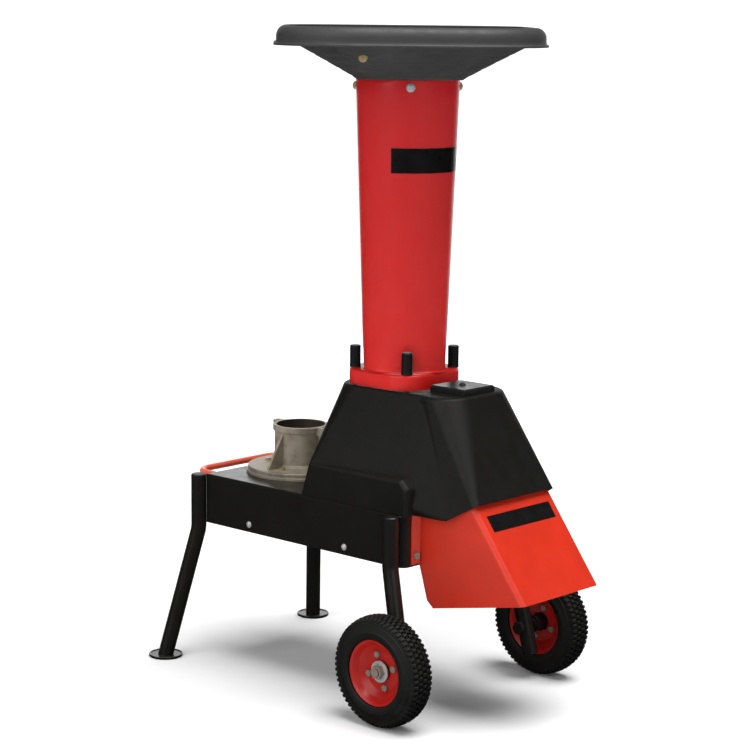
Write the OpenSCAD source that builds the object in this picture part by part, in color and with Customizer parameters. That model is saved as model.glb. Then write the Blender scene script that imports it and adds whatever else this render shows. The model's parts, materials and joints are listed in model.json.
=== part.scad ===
// Garden shredder: a wheeled deck carries an engine bell, a belt-driven rotor under a moulded cover,
// a round feed tube with a square hopper on top, and a sheet chute in front.
// Millimetres, +Z up, +X towards the chute. The ground is z = 0.

/* [Deck] */
// Width of the deck box
deck_w = 326; // [310:1:350]
// Rear face of the deck, behind the feed axis
deck_rear = 408; // [404:1:450]
// Front face of the deck, ahead of the feed axis
deck_front = 150; // [146:1:158]
// Height of the deck top above the ground
deck_top = 395; // [385:1:420]
// Height of the deck skirt
deck_h = 104; // [102:1:115]
// Thickness of the deck sheet
deck_sheet = 3; // [2:0.5:4]
// Radius of the two front corners
deck_corner = 18; // [12:1:22]
// Rounding of the top edge
deck_edge = 4; // [2:0.5:5]
// Thickness of the tray that closes the box from below
tray_sheet = 2; // [1.5:0.5:3]
// Height of the turned-up border of that tray
tray_lip = 30; // [26:1:40]

/* [Legs and handle] */
// Diameter of the leg tube
leg_d = 32; // [28:1:36]
// Wall of the leg tube
leg_wall = 2.5; // [1.5:0.5:4]
// Offset of a rear leg from the deck corner, along each side
leg_out = 10.5; // [8.5:0.5:11]
// How far a rear leg spreads out, along each side
rear_splay = 50; // [30:1:70]
// Height at which the rear legs bend
rear_bend = 279; // [260:1:285]
// Height at which the front legs bend
front_bend = 294; // [285:1:300]
// Bend radius of the legs
leg_bend_r = 70; // [50:1:90]
// Lower end of the front legs
front_leg_end = 56; // [45:1:70]
// Diameter of a rear foot
foot_d = 71; // [60:1:80]
// Thickness of a rear foot
foot_t = 4; // [3:0.5:6]
// Diameter of the lifting handle rod
handle_d = 12; // [10:1:14]
// Distance between the ends of the handle
handle_w = 250; // [200:1:270]
// Reach of the handle behind the deck
handle_reach = 74; // [65:1:90]
// Bend radius of the handle
handle_bend = 40; // [30:1:50]
// Drop of the handle below the deck top
handle_drop = 10; // [10:0.5:14]

/* [Wheels] */
// Outer diameter of the tyre
wheel_d = 220; // [210:1:230]
// Width of the tyre
tyre_w = 62; // [58:1:66]
// Distance between the wheel centres
wheel_track = 486; // [470:1:500]
// Axle position ahead of the feed axis
axle_x = 173; // [165:1:180]
// Diameter of the axle bolt
axle_d = 16; // [14:1:18]
// Diameter of the rim lip
rim_d = 130; // [126:1:134]
// Width of the rim
rim_w = 50; // [46:1:52]
// Sheet of the rim
rim_sheet = 2.5; // [2:0.5:3]
// Tread blocks round each shoulder
lug_count = 44; // [30:1:48]
// Depth of the tread
lug_h = 7; // [4:0.5:8]

/* [Engine bell] */
// Bell axis behind the feed axis
bell_x = 290; // [284:1:294]
// Diameter of the base disc
bell_base_d = 222; // [210:1:228]
// Thickness of the base disc
bell_base_t = 15; // [14:1:17]
// Outer diameter of the bell
bell_d = 110; // [108:1:114]
// Height of the bell above the deck
bell_h = 101; // [96:1:110]
// Diameter of the engine socket
socket_d = 103; // [100:0.5:104]
// Depth of the engine socket
socket_depth = 20; // [16:1:22]
// Distance between the two ear holes
ear_spacing = 134; // [130:1:140]
// Diameter of the ear holes
ear_hole_d = 8.5; // [8:0.5:10]

/* [Rotor and chamber] */
// Rotor axis ahead of the feed axis
rotor_x = 30; // [26:1:34]
// Inner radius of the chamber
chamber_r = 104; // [102:1:106]
// Wall of the chamber
chamber_wall = 4; // [3:0.5:5]
// Width of the chamber flanges
chamber_flange = 11; // [11:0.5:12]
// Thickness of the chamber flanges and lid
lid_t = 6; // [5:0.5:7]
// Radius of the rotor disc
rotor_r = 94; // [92:1:96]
// Thickness of the rotor disc
rotor_t = 10; // [8:1:12]
// Height of the disc underside above the deck
rotor_lift = 67; // [66:1:72]
// Thickness of the two knives
knife_t = 6; // [5:0.5:8]
// Gap between knives and counter blade
cut_gap = 1.5; // [1:0.5:3]
// Thickness of the counter blade
counter_t = 10; // [8:1:12]
// Pin circle radius of the hammers
hammer_pcr = 60; // [58:1:62]
// Thickness of a hammer
hammer_t = 12; // [8:1:14]
// Diameter of the rotor shaft
rotor_shaft_d = 30; // [28:1:32]
// Diameter of the drive shaft
drive_shaft_d = 25; // [24:1:28]
// Belt radius on the rotor pulley
rotor_pulley_r = 55; // [50:1:60]
// Belt radius on the drive pulley
drive_pulley_r = 60; // [55:1:65]
// Width of the belt
belt_w = 14; // [12:1:15]
// Thickness of the belt
belt_t = 6; // [5:0.5:8]

/* [Cover] */
// Height of the cover above the deck
cover_h = 226; // [222:1:240]
// Wall of the cover
cover_wall = 3.2; // [2.5:0.1:3.5]
// Rear foot of the cover, behind the feed axis
cover_rear = 133; // [128:1:140]
// Front edge of the cover, ahead of the feed axis
cover_front = 297; // [295:1:305]
// Height of the front edge above the deck
cover_mouth = 38; // [34:1:42]
// Height of the side bulge
bulge_h = 70; // [64:1:76]
// Length of the access cap
cap_l = 88; // [80:1:92]
// Width of the access cap
cap_w = 92; // [85:1:105]
// Thickness of the access cap
cap_t = 13; // [9:1:15]

/* [Chute] */
// Width of the chute
chute_w = 234; // [230:1:236]
// Sheet of the chute
chute_sheet = 2.5; // [2:0.5:3]
// Front lip of the chute, ahead of the feed axis
chute_tip_x = 413; // [405:1:420]
// Height of the front lip
chute_tip_z = 257; // [245:1:265]
// Lean of the front panel from the vertical
chute_lean = 36.8; // [35:0.1:37.5]
// Radius of the folds
chute_fold = 11; // [8:1:14]
// Width of the bolting flanges
chute_flange = 24; // [20:1:24]

/* [Feed tube] */
// Half width of the foot flange
flange_half = 94; // [93:1:96]
// Corner radius of the foot flange
flange_corner = 56; // [52:1:60]
// Height of the foot flange
flange_h = 31; // [26:1:36]
// Half distance between the clamp studs
stud_half = 69.6; // [67:0.1:71]
// Diameter of the clamp studs
stud_d = 12; // [10:1:14]
// Height of the clamp nuts
nut_h = 44; // [38:1:50]
// Diameter of the clamp nuts
nut_d = 22; // [20:1:24]
// Half width of the tube foot, across its flats
tube_foot_half = 81; // [79:1:83]
// Height of the change from square to round
tube_blend_h = 84; // [70:1:100]
// Outer radius above the change
tube_r = 85; // [82:1:88]
// Outer radius at the top of the tube
tube_top_r = 102.7; // [100:0.1:106]
// Height of the tube above the flange
tube_h = 573; // [520:1:620]
// Wall of the tube
tube_wall = 2.5; // [2:0.5:3]

/* [Hopper] */
// Half width at the foot of the funnel
funnel_foot = 112; // [111:1:118]
// Half width at the top of the funnel
funnel_top = 215; // [205:1:225]
// Height of the funnel
funnel_h = 65; // [58:1:80]
// Half width of the rim
rim_half = 259; // [250:1:270]
// Corner radius of the rim
rim_corner = 160; // [140:1:175]
// Height of the rim
rim_h = 37; // [34:1:46]
// Wall of the hopper
hopper_wall = 3.5; // [3:0.5:4]

/* [Fits] */
// Radial play of a turning shaft
run_fit = 0.05; // [0.02:0.01:0.08]
// Radial gap of parts that are only slipped together
slip_fit = 0.15; // [0.1:0.05:0.2]
// Gap of parts that pass each other
pass_gap = 0.6; // [0.4:0.1:0.8]

/* [Hidden] */
$fn = 48;
eps = 0.01;
// Overshoot of a cutter past the face that it cuts
cut = 1;

// Fasteners: thread, width of the head, height of the head
tray_screw = [6, 13, 4.5];
handle_bolt = [6, 10, 4];
bell_screw = [8, 11, 5];
housing_bolt = [8, 13, 5.5];
chamber_bolt = [6, 9, 4];
counter_bolt = [8, 13, 5.5];
knife_screw = [8, 14, 3.7];
cap_bolt = [8, 14, 5];
chute_bolt = [8, 13, 5];
hopper_bolt = [6, 18, 6];
rim_bolt = [8, 12, 5];
axle_nut_af = 24;

c_black = [0.09, 0.09, 0.09];
c_cover = [0.14, 0.14, 0.12];
c_hopper = [0.26, 0.26, 0.26];
c_red = [0.80, 0.13, 0.12];
c_chute = [0.87, 0.21, 0.13];
c_cast = [0.50, 0.47, 0.42];
c_steel = [0.62, 0.62, 0.63];
c_zinc = [0.75, 0.65, 0.35];

deck_hw = deck_w / 2;
tray_screw_x = [130 - deck_rear, -8];
tray_screw_lift = 16;
tray_screw_end = 4;
chute_bolt_in = 21;
chute_heel_x = 22;
chute_heel_drop = 67;
chute_toe_x = 38;
chute_toe_drop = 80;
chute_tuck = 7;
deck_under = deck_top - deck_sheet;
deck_bottom = deck_top - deck_h;
chute_foot_z = deck_bottom + 4;
leg_r = leg_d / 2;
rear_leg_x = -(deck_rear + leg_out);
rear_leg_y = deck_hw + leg_out;
leg_cap_t = 3;
bend_swell = 0.05;
bend_lap = 1;
leg_top = deck_top - leg_cap_t;
front_leg_x = deck_front - deck_corner - 1;
handle_tap = 18;
front_leg_y = deck_hw + leg_r + slip_fit;
leg_cap_pin = 12;
foot_rim = 2;
wheel_r = wheel_d / 2;
wheel_y = wheel_track / 2;
axle_r = axle_d / 2;
wheel_gap = 5;
axle_seat = 1.3;
axle_leg_y = wheel_y - tyre_w / 2 - leg_r - wheel_gap;
// Lower ends of a rear leg and of a front leg, on one side
function rear_foot(side) = [rear_leg_x - rear_splay, side * (rear_leg_y + rear_splay), foot_t];
function front_foot(side) = let (reach = (front_bend - front_leg_end) / (front_bend - wheel_r))
    [front_leg_x + (axle_x - front_leg_x) * reach,
     side * (front_leg_y + (axle_leg_y - front_leg_y) * reach), front_leg_end];
x_rear = rear_leg_x - rear_splay - foot_d / 2;
feed_x = -(x_rear + chute_tip_x) / 2;

// Levels of the drive inside the deck box
pulley_h = 22;
pulley_side = 5;
pulley_rim = 7;
pulley_hub_r = 22;
pulley_z = deck_bottom + 15;
shaft_nut_h = 9;
shaft_nut_af = 30;
top_nut_h = 10;
bearing_z = pulley_z + pulley_h + 2;
rotor_bearing_r = 31;
rotor_bearing_h = 16;
drive_bearing_r = 26;
drive_bearing_h = 15;
rotor_boss_r = 45;
rotor_boss_top = deck_top + 4;
rotor_boss_bottom_r = 40;
housing_flange_r = 64;
housing_flange_t = 10;
housing_bolt_pcr = 54;
bell_boss_r = 36;
bell_floor = deck_top + 25;
bell_top = deck_top + bell_h;
bell_r = bell_d / 2;
bell_rim = 3.5;
bell_neck_z = bell_top - 14.5;
bell_lip = 1.5;
bell_fillet = 6;
bell_rib = 6;
bell_step = 3.5;
bell_screw_pcr = bell_r + 24;
coupling_lift = 3;
coupling_hub_r = 18;
coupling_hub_h = 24;
coupling_r = 40;
coupling_disc_t = 9;
coupling_jaw_r = 25;
rotor_shaft_r = rotor_shaft_d / 2;
drive_shaft_r = drive_shaft_d / 2;
shaft_end_r = 10;
ear_r = 11;
ear_h = 18;

// Levels of the cutting chamber
disc_z = deck_top + rotor_lift;
knife_z = disc_z + rotor_t;
lid_z = knife_z + knife_t + cut_gap + counter_t;
lid_top = lid_z + lid_t;
chamber_out = chamber_r + chamber_wall;
flange_out = chamber_out + chamber_flange;
chamber_bolt_pcr = chamber_out + chamber_flange / 2;
chamber_bolt_in = 36;
hammer_pin_r = 6;
hammer_head_h = 4;
hammer_head_r = hammer_pin_r + 4;
hammer_z = disc_z - pass_gap - hammer_t;
hammer_len = rotor_r + 3 - hammer_pcr;
hammer_half_w = 13;
fan_bottom = deck_top + 11;
fan_top = hammer_z - pass_gap - hammer_head_h - 3;
fan_hub = 8;
fan_t = 6;
neck_r = 70;
neck_wall = 3;
counter_x = rotor_x + 46;
counter_l = 38;
counter_w = 72;
knife_in = 24;
knife_seat = knife_t - 4;
knife_w = 40;
knife_screw_x = [42, 74];
knife_screw_y = -4;
slot_w = 12;

// Levels of the cover, tube and hopper
cover_top = deck_top + cover_h;
cover_under = cover_top - cover_wall;
flange_top = cover_top + flange_h;
tube_blend_z = flange_top + tube_blend_h;
tube_top = flange_top + tube_h;
rim_z = tube_top + funnel_h;
hopper_top = rim_z + rim_h;
flange_plate = 4;
flange_skirt = 3;
tube_foot_corner = 58;
tube_lap = 2;
tube_swell = 0.05;
foot_sides = 64;
foot_steps = 5;
collar_h = 20;
collar_r = tube_top_r - tube_wall - (tube_top_r - tube_r) * collar_h / (tube_h - tube_blend_h) - slip_fit;
hopper_bolt_z = tube_top - 14;
funnel_knee = 7;
funnel_foot_in = 9;
funnel_mid = [0.52, 0.46];
funnel_cut = [31, 25, 44, 61];
rim_roll = 20;
rim_lip = 5;
rim_in = 16;
rim_mid = 0.45;
cap_x = cover_front - 143;
cover_ball_r = 10;
cover_nose_r = 13;
cover_tip_r = 8;
cover_rear_edge = 7;
cover_rear_out = 5;
cover_front_edge = 12;
cover_valley = 4;
cover_bow = 6;
bulge_lean = 19;
bulge_in = 76;
bulge_round = 12;
bulge_deep = 50;
bulge_top = deck_top + bulge_h - cover_ball_r;
cover_nose_in = 7.5;
cover_tip_out = 11;
cover_crease_out = 7;
cover_brow_x = cover_front - 147;
cover_brow_y = 42;
cover_brow_r = 48;
cover_tip_x = cover_front - 65;
// Height of the cover's lower edge at the distance x ahead of the feed axis
function cover_cut_z(x) = deck_top + max(0, (x - cover_tip_x) * cover_mouth / (cover_front - cover_tip_x));

// Axle lengths
hub_in = wheel_y - tyre_w / 2 + 2;
hub_out = wheel_y + 7;
axle_start = axle_leg_y - leg_r - axle_seat;
axle_washer_y = hub_out + pass_gap;
axle_nut_h = 10;
axle_head_h = 9;
axle_end = 2;
spacer_r = 13;
washer_r = 21;
washer_t = 3;

// Tyre, rim and hub
tyre_crown = 60;
tyre_shoulder = 5;
tyre_thick = 8;
tread_gap = 1.5;
lug_share = [0.02, 0.05, 0.55, 0.62];
rim_web = 3;
rim_web_r = 40;
rim_bore_r = 20;
rim_well_in = 9;
rim_bolt_pcr = 33;
hub_r = 17;
hub_flange_r = 19.5;
hub_flange_h = 10;

// Distance from the middle to the edge of a square with rounded corners, in the direction a
function square_reach(half, corner, a) =
    let (c = max(abs(cos(a)), abs(sin(a))), s = min(abs(cos(a)), abs(sin(a))), e = half - corner)
    half * s <= e * c ? half / c : e * (c + s) + sqrt(pow(e * (c + s), 2) - 2 * e * e + corner * corner);
// Ring of the tube foot at level z, moved out by off and then widened
function foot_ring(z, off, widen) = let (t = min(1, max(0, (z - flange_top) / (tube_blend_h - tube_lap))))
    [for (i = [0:foot_sides - 1]) let (a = i * 360 / foot_sides,
        r = (1 - t) * square_reach(tube_foot_half, tube_foot_corner, a - 45) + t * tube_r + off)
        [r * widen * cos(a), r * widen * sin(a), z]];
// Triangles of a closed skin through count rings of n points each
function loft_faces(count, n) = [for (k = [0:count - 1], i = [0:n - 1], upper = [false, true])
    let (j = (i + 1) % n, here = k * n, next = (k + 1) % count * n)
    upper ? [here + i, next + i, next + j] : [here + i, next + j, here + j]];

// Placing helpers

// Moves what is measured from the feed axis into the frame of the whole machine
module from_feed() {
    translate([feed_x, 0, 0]) children();
}

// Cylinder from level z0 to level z1
module post(r, z0, z1) {
    translate([0, 0, z0]) cylinder(r = r, h = z1 - z0);
}

// Ring from level z0 to level z1
module ring(r_out, r_in, z0, z1) {
    difference() {
        post(r_out, z0, z1);
        post(r_in, z0 - cut, z1 + cut);
    }
}

// Turns a shape that stands on +Z so that it points along +X or +Y
module along_x() {
    rotate([0, 90, 0]) children();
}
module along_y() {
    rotate([-90, 0, 0]) children();
}

// Hexagon of width af across its flats
module hexagon(af, h) {
    cylinder(d = af / cos(30), h = h, $fn = 6);
}

// Hexagon bolt: the head stands on +Z from the seat at z = 0, the shank goes down
module hex_bolt(kind, shank) {
    hexagon(kind[1], kind[2]);
    post(kind[0] / 2, -shank, eps);
}

// Round-head screw with the same seat, its head a low dome
module dome_screw(kind, shank) {
    head_r = kind[1] / 2;
    head_h = kind[2];
    ball_r = (head_r * head_r + head_h * head_h) / (2 * head_h);
    intersection() {
        translate([0, 0, head_h - ball_r]) sphere(r = ball_r);
        cylinder(r = head_r, h = head_h);
    }
    post(kind[0] / 2, -shank, eps);
}

// Clearance hole for a fastener from level z0 to level z1
module clear_hole(kind, z0, z1) {
    post(kind[0] / 2 + slip_fit, z0, z1);
}

// Outlines

// Square of half width h with rounded corners of radius r
module round_square(h, r) {
    square([2 * h, 2 * (h - r)], center = true);
    square([2 * (h - r), 2 * h], center = true);
    for (sx = [-1, 1], sy = [-1, 1]) translate([sx * (h - r), sy * (h - r)]) circle(r = r);
}

// Square of half width h with its corners cut by c
module cut_square(h, c) {
    e = h - c;
    polygon([[h, e], [e, h], [-e, h], [-h, e], [-h, -e], [-e, -h], [e, -h], [h, -e]]);
}

// Outline of the deck, drawn in by inset
module deck_outline(inset) {
    r = deck_corner - inset;
    half = deck_hw - inset;
    front = deck_front - inset;
    rear = -deck_rear + inset;
    translate([rear, -half]) square([front - r - rear, 2 * half]);
    translate([front - r - eps, r - half]) square([r + eps, 2 * (half - r)]);
    for (sy = [-1, 1]) translate([front - r, sy * (half - r)]) circle(r = r);
}

// U-shaped outline of the chamber, open to the front, at radius r
module chamber_outline(r, front) {
    translate([rotor_x, 0]) circle(r = r, $fn = 96);
    translate([rotor_x, -r]) square([front - rotor_x, 2 * r]);
}

// Ring section of the leg tube, its wall thicker by swell on both sides
module leg_section(swell) {
    difference() {
        circle(r = leg_r + swell);
        circle(r = leg_r - leg_wall - swell);
    }
}

// Deck and its tray

// Edge cutter: a bar of length l along +Z that rounds the corner at its origin with radius r
module edge_bar(l, r) {
    linear_extrude(l) difference() {
        translate([-r, -r]) square(r + cut);
        translate([-r, -r]) circle(r = r);
    }
}

// Rounds the top edge of the deck all the way round
module deck_edge_cut() {
    for (sy = [-1, 1]) {
        translate([-deck_rear - cut, 0, deck_top]) mirror([0, sy > 0 ? 0 : 1, 0])
            translate([0, deck_hw, 0]) rotate([90, 0, 90])
            edge_bar(deck_rear + deck_front - deck_corner + cut, deck_edge);
        translate([deck_front - deck_corner, sy * (deck_hw - deck_corner), deck_top])
            rotate([0, 0, sy > 0 ? 0 : -90]) rotate_extrude(angle = 90) translate([deck_corner, 0])
            difference() {
                translate([-deck_edge, -deck_edge]) square(deck_edge + cut);
                translate([-deck_edge, -deck_edge]) circle(r = deck_edge);
            }
    }
    translate([-deck_rear, deck_hw + cut, deck_top]) mirror([1, 0, 0]) rotate([90, 0, 0])
        edge_bar(deck_w + 2 * cut, deck_edge);
    translate([deck_front, deck_hw - deck_corner, deck_top]) rotate([90, 0, 0])
        edge_bar(deck_w - 2 * deck_corner, deck_edge);
}

// Places of the tray screws on the side skirts
module tray_screw_places() {
    for (sy = [-1, 1], x = tray_screw_x) translate([x, sy * deck_hw, deck_bottom + tray_screw_lift])
        rotate([-90 * sy, 0, 0]) children();
}

// Places of the chute bolts on the deck front
module chute_bolt_places() {
    for (sy = [-1, 1]) translate([deck_front + chute_sheet, sy * (chute_w + chute_flange) / 2,
        deck_bottom + chute_bolt_in]) along_x() children();
}

// Places of the bell screws on the base disc
module bell_screw_places() {
    for (a = [15:90:285]) translate([-bell_x, 0, deck_top + bell_base_t]) rotate(a)
        translate([bell_screw_pcr, 0, 0]) children();
}

// Places of the bolts in the chamber flanges
module chamber_bolt_places() {
    for (a = [90, 138, 222, 270]) translate([rotor_x, 0, 0]) rotate(a)
        translate([chamber_bolt_pcr, 0, 0]) children();
    for (sy = [-1, 1]) translate([deck_front - chamber_bolt_in, sy * chamber_bolt_pcr, 0]) children();
}

// Places of the bolts that hold the rotor bearing housing
module housing_bolt_places() {
    for (a = [45:90:315]) translate([rotor_x, 0, deck_top]) rotate(a)
        translate([housing_bolt_pcr, 0, 0]) children();
}

// Places of the clamp studs
module stud_places() {
    for (sx = [-1, 1], sy = [-1, 1]) translate([sx * stud_half, sy * stud_half, 0]) children();
}

module deck_box() {
    color(c_black) from_feed() difference() {
        translate([0, 0, deck_bottom]) linear_extrude(deck_h) deck_outline(0);
        translate([0, 0, deck_bottom - cut])
            linear_extrude(deck_h - deck_sheet + cut) deck_outline(deck_sheet);
        deck_edge_cut();
        for (sy = [-1, 1]) translate([rear_leg_x, sy * rear_leg_y, 0])
            post(leg_r + slip_fit, deck_bottom - cut, deck_top + cut);
        translate([-bell_x, 0, 0]) post(bell_boss_r + slip_fit, deck_under - cut, deck_top + cut);
        translate([rotor_x, 0, 0]) post(rotor_boss_r + slip_fit, deck_under - cut, deck_top + cut);
        tray_screw_places() clear_hole(tray_screw, -deck_sheet - cut, cut);
        chute_bolt_places() clear_hole(chute_bolt, -chute_sheet - deck_sheet - cut, cut);
        bell_screw_places() clear_hole(bell_screw, -bell_base_t - deck_sheet - cut, cut);
        chamber_bolt_places() clear_hole(chamber_bolt, deck_under - cut, deck_top + cut);
        housing_bolt_places() clear_hole(housing_bolt, -deck_sheet - cut, cut);
        handle_end_places() clear_hole(handle_bolt, -deck_sheet - cut, cut);
    }
}

// Sheet tray that closes the box from below and is screwed through the skirts
module bottom_tray() {
    inset = deck_sheet + slip_fit;
    color(c_black) from_feed() difference() {
        translate([0, 0, deck_bottom]) linear_extrude(tray_lip) deck_outline(inset);
        translate([0, 0, deck_bottom + tray_sheet]) linear_extrude(tray_lip) deck_outline(inset + tray_sheet);
        tray_screw_places() clear_hole(tray_screw, -inset - tray_sheet - cut, cut);
        chute_bolt_places() clear_hole(chute_bolt, -chute_sheet - inset - tray_sheet - cut, cut);
    }
}

module tray_screws() {
    shank = deck_sheet + slip_fit + tray_sheet + tray_screw_end;
    color(c_steel) from_feed() tray_screw_places() dome_screw(tray_screw, shank);
}

// Legs, feet and handle

// Tube that runs down from the top, bends once and slants out to the point end = [x, y, z]
module bent_tube(x, y, z_top, z_bend, end) {
    run = norm([end[0] - x, end[1] - y]);
    tilt = atan2(run, z_bend - end[2]);
    turn = atan2(end[1] - y, end[0] - x);
    set_back = leg_bend_r * tan(tilt / 2);
    slant = norm([run, z_bend - end[2]]) - set_back;
    translate([x, y, 0]) rotate(turn) {
        translate([0, 0, z_bend + set_back - bend_lap])
            linear_extrude(z_top - z_bend - set_back + bend_lap) leg_section(0);
        translate([leg_bend_r, 0, z_bend + set_back]) rotate([90, 0, 0]) rotate(180)
            rotate_extrude(angle = tilt) translate([leg_bend_r, 0]) leg_section(bend_swell);
        translate([set_back * sin(tilt), 0, z_bend - set_back * cos(tilt)]) rotate([0, 180 - tilt, 0])
            translate([0, 0, -bend_lap]) linear_extrude(slant + bend_lap) leg_section(0);
    }
}

// The slanted part of a rear leg runs on past its foot and is cut level on it
module rear_leg(side) {
    foot = rear_foot(side);
    bend = [rear_leg_x, side * rear_leg_y, rear_bend];
    over = 1.1;
    color(c_black) from_feed() difference() {
        bent_tube(bend[0], bend[1], leg_top, rear_bend, bend + over * (foot - bend));
        translate([foot[0], foot[1], foot_t - leg_d]) cube([4 * leg_d, 4 * leg_d, 2 * leg_d], center = true);
    }
}
module rear_leg_right() rear_leg(-1);
module rear_leg_left() rear_leg(1);

// The slanted part of a front leg passes through the axle at the height of the wheel centre
module front_leg(side) {
    color(c_black) from_feed() difference() {
        bent_tube(front_leg_x, side * front_leg_y, leg_top, front_bend, front_foot(side));
        translate([axle_x, side * axle_leg_y, wheel_r]) along_y() post(axle_r + slip_fit, -leg_d, leg_d);
    }
}
module front_leg_right() front_leg(-1);
module front_leg_left() front_leg(1);

// Round pad with a raised border
module rear_feet() {
    r = foot_d / 2;
    color(c_black) from_feed() for (side = [-1, 1]) translate([rear_foot(side)[0], rear_foot(side)[1], 0])
        rotate_extrude() polygon([[0, 0], [r - 2, 0], [r, 2], [r, foot_t + foot_rim / 2],
            [r - foot_rim / 2, foot_t + foot_rim], [r - 2 * foot_rim, foot_t], [0, foot_t]]);
}

// Plug that stands on a tube end, its pin pointing down into the tube
module leg_cap() {
    pin_r = leg_r - leg_wall - slip_fit;
    rotate_extrude() polygon([[0, -leg_cap_pin], [pin_r, -leg_cap_pin], [pin_r, 0], [leg_r, 0],
        [leg_r, leg_cap_t / 3], [leg_r - leg_cap_t * 2 / 3, leg_cap_t], [0, leg_cap_t]]);
}

// Plugs in the upper ends of all legs and in the lower ends of the front legs
module leg_caps() {
    color(c_black) from_feed() for (side = [-1, 1]) {
        translate([rear_leg_x, side * rear_leg_y, leg_top]) leg_cap();
        translate([front_leg_x, side * front_leg_y, leg_top]) leg_cap();
        run = front_foot(side) - [front_leg_x, side * front_leg_y, front_bend];
        translate(front_foot(side)) rotate([0, acos(run[2] / norm(run)), atan2(run[1], run[0])]) leg_cap();
    }
}

// Ends of the handle on the rear skirt, pointing backwards
module handle_end_places() {
    for (sy = [-1, 1]) translate([-deck_rear, sy * handle_w / 2, deck_top - handle_drop])
        rotate([0, -90, 0]) children();
}

// Round rod bent to a flat U, tapped at both ends
module lifting_handle() {
    r = handle_d / 2;
    straight = handle_reach - handle_bend;
    half = handle_w / 2;
    z = deck_top - handle_drop;
    color(c_chute) from_feed() difference() {
        union() {
            for (sy = [-1, 1]) {
                translate([-deck_rear - straight, sy * half, z]) along_x() cylinder(r = r, h = straight);
                translate([-deck_rear - straight, sy * (half - handle_bend), z]) rotate(sy > 0 ? 90 : 180)
                    rotate_extrude(angle = 90) translate([handle_bend, 0]) circle(r = r);
            }
            translate([-deck_rear - handle_reach, 0, z]) along_y()
                post(r, handle_bend - half, half - handle_bend);
        }
        handle_end_places() clear_hole(handle_bolt, -cut, handle_tap + 2);
    }
}

// Bolts from inside the skirt into the handle ends
module handle_bolts() {
    color(c_steel) from_feed() handle_end_places() translate([0, 0, -deck_sheet]) mirror([0, 0, 1])
        hex_bolt(handle_bolt, deck_sheet + handle_tap);
}

// Engine bell and drive

// Side view of the bell: base disc with an overhanging edge, straight wall and socket rim
module bell_profile() {
    base_r = bell_base_d / 2;
    base_top = deck_top + bell_base_t;
    rim_out = bell_r + bell_rim;
    rim_edge = 1;
    polygon([[0, deck_top], [base_r - bell_lip, deck_top], [base_r - bell_lip, base_top - 4 * bell_lip],
        [base_r, base_top - 3 * bell_lip], [base_r, base_top - bell_lip], [base_r - bell_lip, base_top],
        [bell_r + bell_fillet, base_top], [bell_r, base_top + bell_fillet], [bell_r, bell_neck_z],
        [rim_out, bell_neck_z + bell_rim], [rim_out, bell_top - rim_edge], [rim_out - rim_edge, bell_top],
        [0, bell_top]]);
}

// Upright rib from the base disc to the rim
module bell_gusset() {
    foot = bell_base_d / 2 - 14;
    base_top = deck_top + bell_base_t;
    sink = 4;
    rotate([90, 0, 0]) linear_extrude(bell_rib, center = true)
        polygon([[bell_r - sink, base_top - 1], [foot, base_top - 1], [foot, base_top + 2],
            [bell_r - 0.5, bell_neck_z], [bell_r - sink, bell_neck_z]]);
}

// Bolting ear beside the socket rim, with a tapered boss and a rib below
module bell_ear() {
    half = ear_spacing / 2;
    taper = 10;
    sink = 2;
    translate([half, 0, bell_top - ear_h]) rotate_extrude()
        polygon([[0, -taper], [ear_r - 4, -taper], [ear_r, 0], [ear_r, ear_h], [0, ear_h]]);
    translate([bell_r - sink, 2 - ear_r, bell_top - ear_h + 1])
        cube([half - bell_r + sink, 2 * ear_r - 4, ear_h - 1]);
    translate([bell_r - sink, -bell_rib / 2, bell_top - ear_h - 26])
        cube([half - bell_r - 2 * sink, bell_rib, 30]);
}

// Cast bell with base disc, two gussets, two bolting ears and the bearing boss below the deck
module engine_bell() {
    shoulder = 5;
    color(c_cast) from_feed() translate([-bell_x, 0, 0]) difference() {
        union() {
            rotate_extrude($fn = 96) bell_profile();
            post(bell_boss_r, bearing_z, deck_top + 1);
            for (a = [-90, 90]) rotate(a) bell_gusset();
            for (a = [0, 180]) rotate(a) bell_ear();
        }
        post(socket_d / 2, bell_top - socket_depth, bell_top + cut);
        post(socket_d / 2 - bell_step, bell_floor, bell_top);
        post(drive_bearing_r + run_fit, bell_floor - drive_bearing_h, bell_floor + cut);
        post(drive_bearing_r - shoulder, bearing_z - cut, bell_floor);
        post(drive_bearing_r + run_fit, bearing_z - cut, bearing_z + drive_bearing_h);
        for (sx = [-1, 1]) translate([sx * ear_spacing / 2, 0, 0])
            post(ear_hole_d / 2, bell_top - 2 * ear_h, bell_top + cut);
        translate([bell_x, 0, 0]) bell_screw_places() clear_hole(bell_screw, -bell_base_t - cut, cut);
    }
}

// Screws with a washer each
module bell_screws() {
    washer = 1.5;
    color(c_zinc) from_feed() bell_screw_places() {
        hex_bolt(bell_screw, bell_base_t + deck_sheet);
        ring(bell_screw[0], bell_screw[0] / 2 + slip_fit, 0, washer);
    }
}

// Closed ball bearing: one ring with a groove on each face
module bearing(r_out, r_in, z0, h) {
    mid = (r_out + r_in) / 2;
    groove = 3;
    difference() {
        ring(r_out, r_in, z0, z0 + h);
        for (z = [z0 - 1, z0 + h - 1]) ring(mid + groove, mid - groove, z, z + 2);
    }
}

module drive_bearings() {
    color(c_steel) from_feed() translate([-bell_x, 0, 0]) for (z = [bearing_z, bell_floor - drive_bearing_h])
        bearing(drive_bearing_r, drive_shaft_r + run_fit, z, drive_bearing_h);
}

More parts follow.
